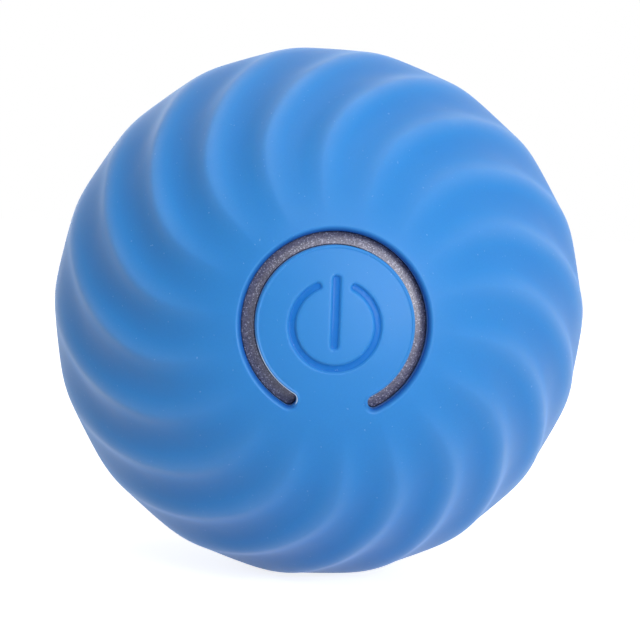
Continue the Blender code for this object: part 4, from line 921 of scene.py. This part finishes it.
def brushed_finish(name, colour, gloss, stretch):
    """Metal with fine lines drawn along the axis of the ball or round it."""
    made, nodes, shader = material(name)
    spread = nodes.new("ShaderNodeMapping", {"Vector": nodes.place(), "Scale": stretch})
    lines = nodes.noise(1.0, detail=6.0, rough=0.7, where=spread.outputs[0])
    toned = nodes.mixed(nodes.ranged(lines, *WIDE_NOISE_SPAN, 0.0, 0.35), colour, linear(120, 122, 126))
    out = grained(nodes, shader, toned, gloss, mottle=0.05, patch=160.0, grain=4000.0, change=0.08)
    uneven = nodes.maths("ADD", out["Roughness"], nodes.ranged(lines, *WIDE_NOISE_SPAN, -0.05, 0.08))
    nodes.put_all(shader, {"Roughness": uneven, "Metallic": 1.0})
    bumped(nodes, shader, lines, 0.3, 0.006)
    return made


def board_finish(name):
    """Green solder mask over copper tracks."""
    made, nodes, shader = material(name)
    turned = nodes.new("ShaderNodeMapping", {"Vector": nodes.place(), "Rotation": (math.pi / 2, 0.0, 0.0)})
    bricks = {"Scale": 420.0, "Mortar Size": 0.03, "Brick Width": 0.9, "Row Height": 0.42}
    tracks = nodes.new("ShaderNodeTexBrick", {"Vector": turned.outputs[0], **bricks}).outputs["Fac"]
    toned = nodes.mixed(tracks, linear(24, 96, 52), linear(58, 138, 78))
    grained(nodes, shader, toned, 0.34, mottle=0.08, patch=130.0, grain=5200.0, change=0.06)
    bumped(nodes, shader, tracks, 0.4, 0.02)
    return made


def foil_finish(name):
    """Laminated foil with soft creases, and painted shade that darkens it along them."""
    made, nodes, shader = material(name)
    cells = {"Scale": 260.0, "Vector": nodes.place()}
    creases = nodes.new("ShaderNodeTexVoronoi", cells, feature="DISTANCE_TO_EDGE")
    lines = nodes.ranged(creases.outputs["Distance"], 0.0, 0.08)
    toned = nodes.mixed(lines, linear(150, 152, 158), linear(196, 198, 203))
    grained(nodes, shader, toned, 0.36, mottle=0.05, patch=110.0, grain=4200.0, change=0.08)
    nodes.put_all(shader, {"Metallic": 0.8})
    bumped(nodes, shader, lines, 0.35, 0.03)
    return made


def foam_finish(name):
    """Dark foam with open pores, and painted shade that darkens each pore towards its middle."""
    made, nodes, shader = material(name)
    pores = nodes.new("ShaderNodeTexVoronoi", {"Scale": 3200.0, "Vector": nodes.place()})
    depth = nodes.ranged(pores.outputs["Distance"], 0.1, 0.6)
    toned = nodes.mixed(depth, linear(70, 70, 72), linear(118, 118, 120))
    grained(nodes, shader, toned, 0.92, mottle=0.1, patch=150.0, grain=5000.0, change=0.05)
    bumped(nodes, shader, depth, 0.8, 0.08)
    return made


def make_finishes():
    """The finish of each slot whose nodes still show."""
    return {
        "shell_plastic": plain_finish(
            "spark_grey_plastic", linear(80, 82, 86), 0.55, mottle=0.08, grain=3600.0, bump=0.6, depth=0.03
        ),
        "core_plastic": plain_finish("natural_white_plastic", linear(206, 205, 202), 0.48),
        "gear_plastic": plain_finish("white_gear_plastic", linear(228, 226, 218), 0.38),
        "hub_gear_plastic": plain_finish("amber_gear_plastic", linear(208, 172, 98), 0.38),
        "board": board_finish("green_board"),
        "steel": brushed_finish("plated_steel", linear(196, 198, 202), 0.30, (900.0, 60.0, 900.0)),
        "zinc": plain_finish(
            "cast_zinc", linear(150, 152, 156), 0.48,
            metallic=1.0, mottle=0.12, patch=220.0, bump=0.6, depth=0.04,
        ),
        "brass": brushed_finish("turned_brass", linear(219, 190, 128), 0.28, (200.0, 1500.0, 200.0)),
        "black_plastic": plain_finish("black_plastic", linear(34, 34, 36), 0.46, mottle=0.12, bump=0.5),
        "cell_wrap": foil_finish("cell_foil"),
        "foam": foam_finish("open_foam"),
        "lamp": plain_finish("lamp_resin", linear(236, 234, 224), 0.22, mottle=0.04),
    }


def finish_nodes(finishes):
    """Gives every CAD piece that still shows its real finish."""
    replaced = {"silicone_cover", "power_button", "port_flap", "flap_anchor", "light_lens"}
    for row in frame["record"]["subparts"]:
        if row["node"] not in replaced:
            mesh = frame["nodes"][row["node"]].data
            mesh.materials.clear()
            mesh.materials.append(finishes[row["material_slot"]])


def plainly_seen(nodes):
    """1 for rays that show a surface to the camera, and 0 for rays that carry its light."""
    seen = nodes.new("ShaderNodeLightPath").outputs
    direct = nodes.maths("MAXIMUM", seen["Is Camera Ray"], seen["Is Transmission Ray"])
    return nodes.maths("MAXIMUM", direct, seen["Is Glossy Ray"])


def make_floor():
    """A pale floor that fades to white, and keeps the ball's shadow."""
    mesh = bpy.data.meshes.new("floor")
    half, level = FLOOR_HALF, -BALL * MM
    corners = [(-half, -half, level), (half, -half, level), (half, half, level), (-half, half, level)]
    mesh.from_pydata(corners, [], [(0, 1, 2, 3)])
    floor = linked("floor", mesh)
    made, nodes, shader = material("pale_floor")
    patches = nodes.ranged(nodes.noise(14.0, detail=3.0), *WIDE_NOISE_SPAN)
    dark, light = ((grey, grey, grey, 1.0) for grey in FLOOR_GREYS)
    nodes.put_all(shader, {
        "Base Color": nodes.mixed(patches, dark, light),
        "Roughness": 0.9,
        "Specular IOR Level": 0.0,
        "Emission Color": WHITE,
        "Emission Strength": nodes.maths("MULTIPLY", plainly_seen(nodes), FLOOR_GLOW),
    })
    mesh.materials.append(made)


def make_world():
    """A white backdrop that gives less light than it shows."""
    world = bpy.data.worlds.new("studio")
    world.use_nodes = True
    bpy.context.scene.world = world
    nodes = Nodes(world.node_tree)
    strength = nodes.ranged(plainly_seen(nodes), 0.0, 1.0, ROOM_LIGHT, BACKDROP)
    nodes.put_all(world.node_tree.nodes["Background"], {"Color": WHITE, "Strength": strength})


def make_lamps():
    """Soft square lamps that face the ball."""
    for name, place, size, power in LAMPS:
        lamp = bpy.data.lights.new(name, "AREA")
        lamp.shape = "SQUARE"
        lamp.size, lamp.energy = size, power
        holder = linked(name, lamp)
        holder.location = place
        holder.rotation_euler = (-Vector(place)).to_track_quat("-Z", "Y").to_euler()


def make_camera():
    """The photograph's view: nearly level, eight radii away, a little from the left."""
    lens = bpy.data.cameras.new("camera")
    lens.lens, lens.sensor_width = CAMERA_LENS, CAMERA_SENSOR
    lens.shift_x, lens.shift_y = CAMERA_SHIFT
    lens.clip_start, lens.clip_end = CAMERA_CLIP
    back = Vector(CAMERA_BACK).normalized()
    right = Vector((0, 0, 1)).cross(back).normalized()
    turned = Matrix((right, back.cross(right), back)).transposed().to_4x4()
    rolled = Matrix.Rotation(math.radians(CAMERA_ROLL), 4, "Z")
    camera = linked("camera", lens)
    camera.matrix_world = Matrix.Translation(back * CAMERA_AWAY) @ turned @ rolled
    bpy.context.scene.camera = camera


def main():
    bpy.context.scene.view_settings.view_transform = "Standard"
    make_camera()
    make_lamps()
    make_world()
    make_floor()
    silicone = silicone_finish("blue_silicone", SILICONE_BLUE, gloss=0.46, shine=0.26)
    sign_floor = silicone_finish("sign_floor_silicone", SIGN_BLUE, gloss=0.30, shine=0.12)
    finishes = make_finishes()
    finish_nodes(finishes)
    make_cover_skin(silicone, sign_floor)
    make_light_ring(smoked_finish("smoked_grain"))
    make_flap_skin(silicone)
    make_port_contacts(finishes["brass"])


main()
bpy.context.view_layer.update()
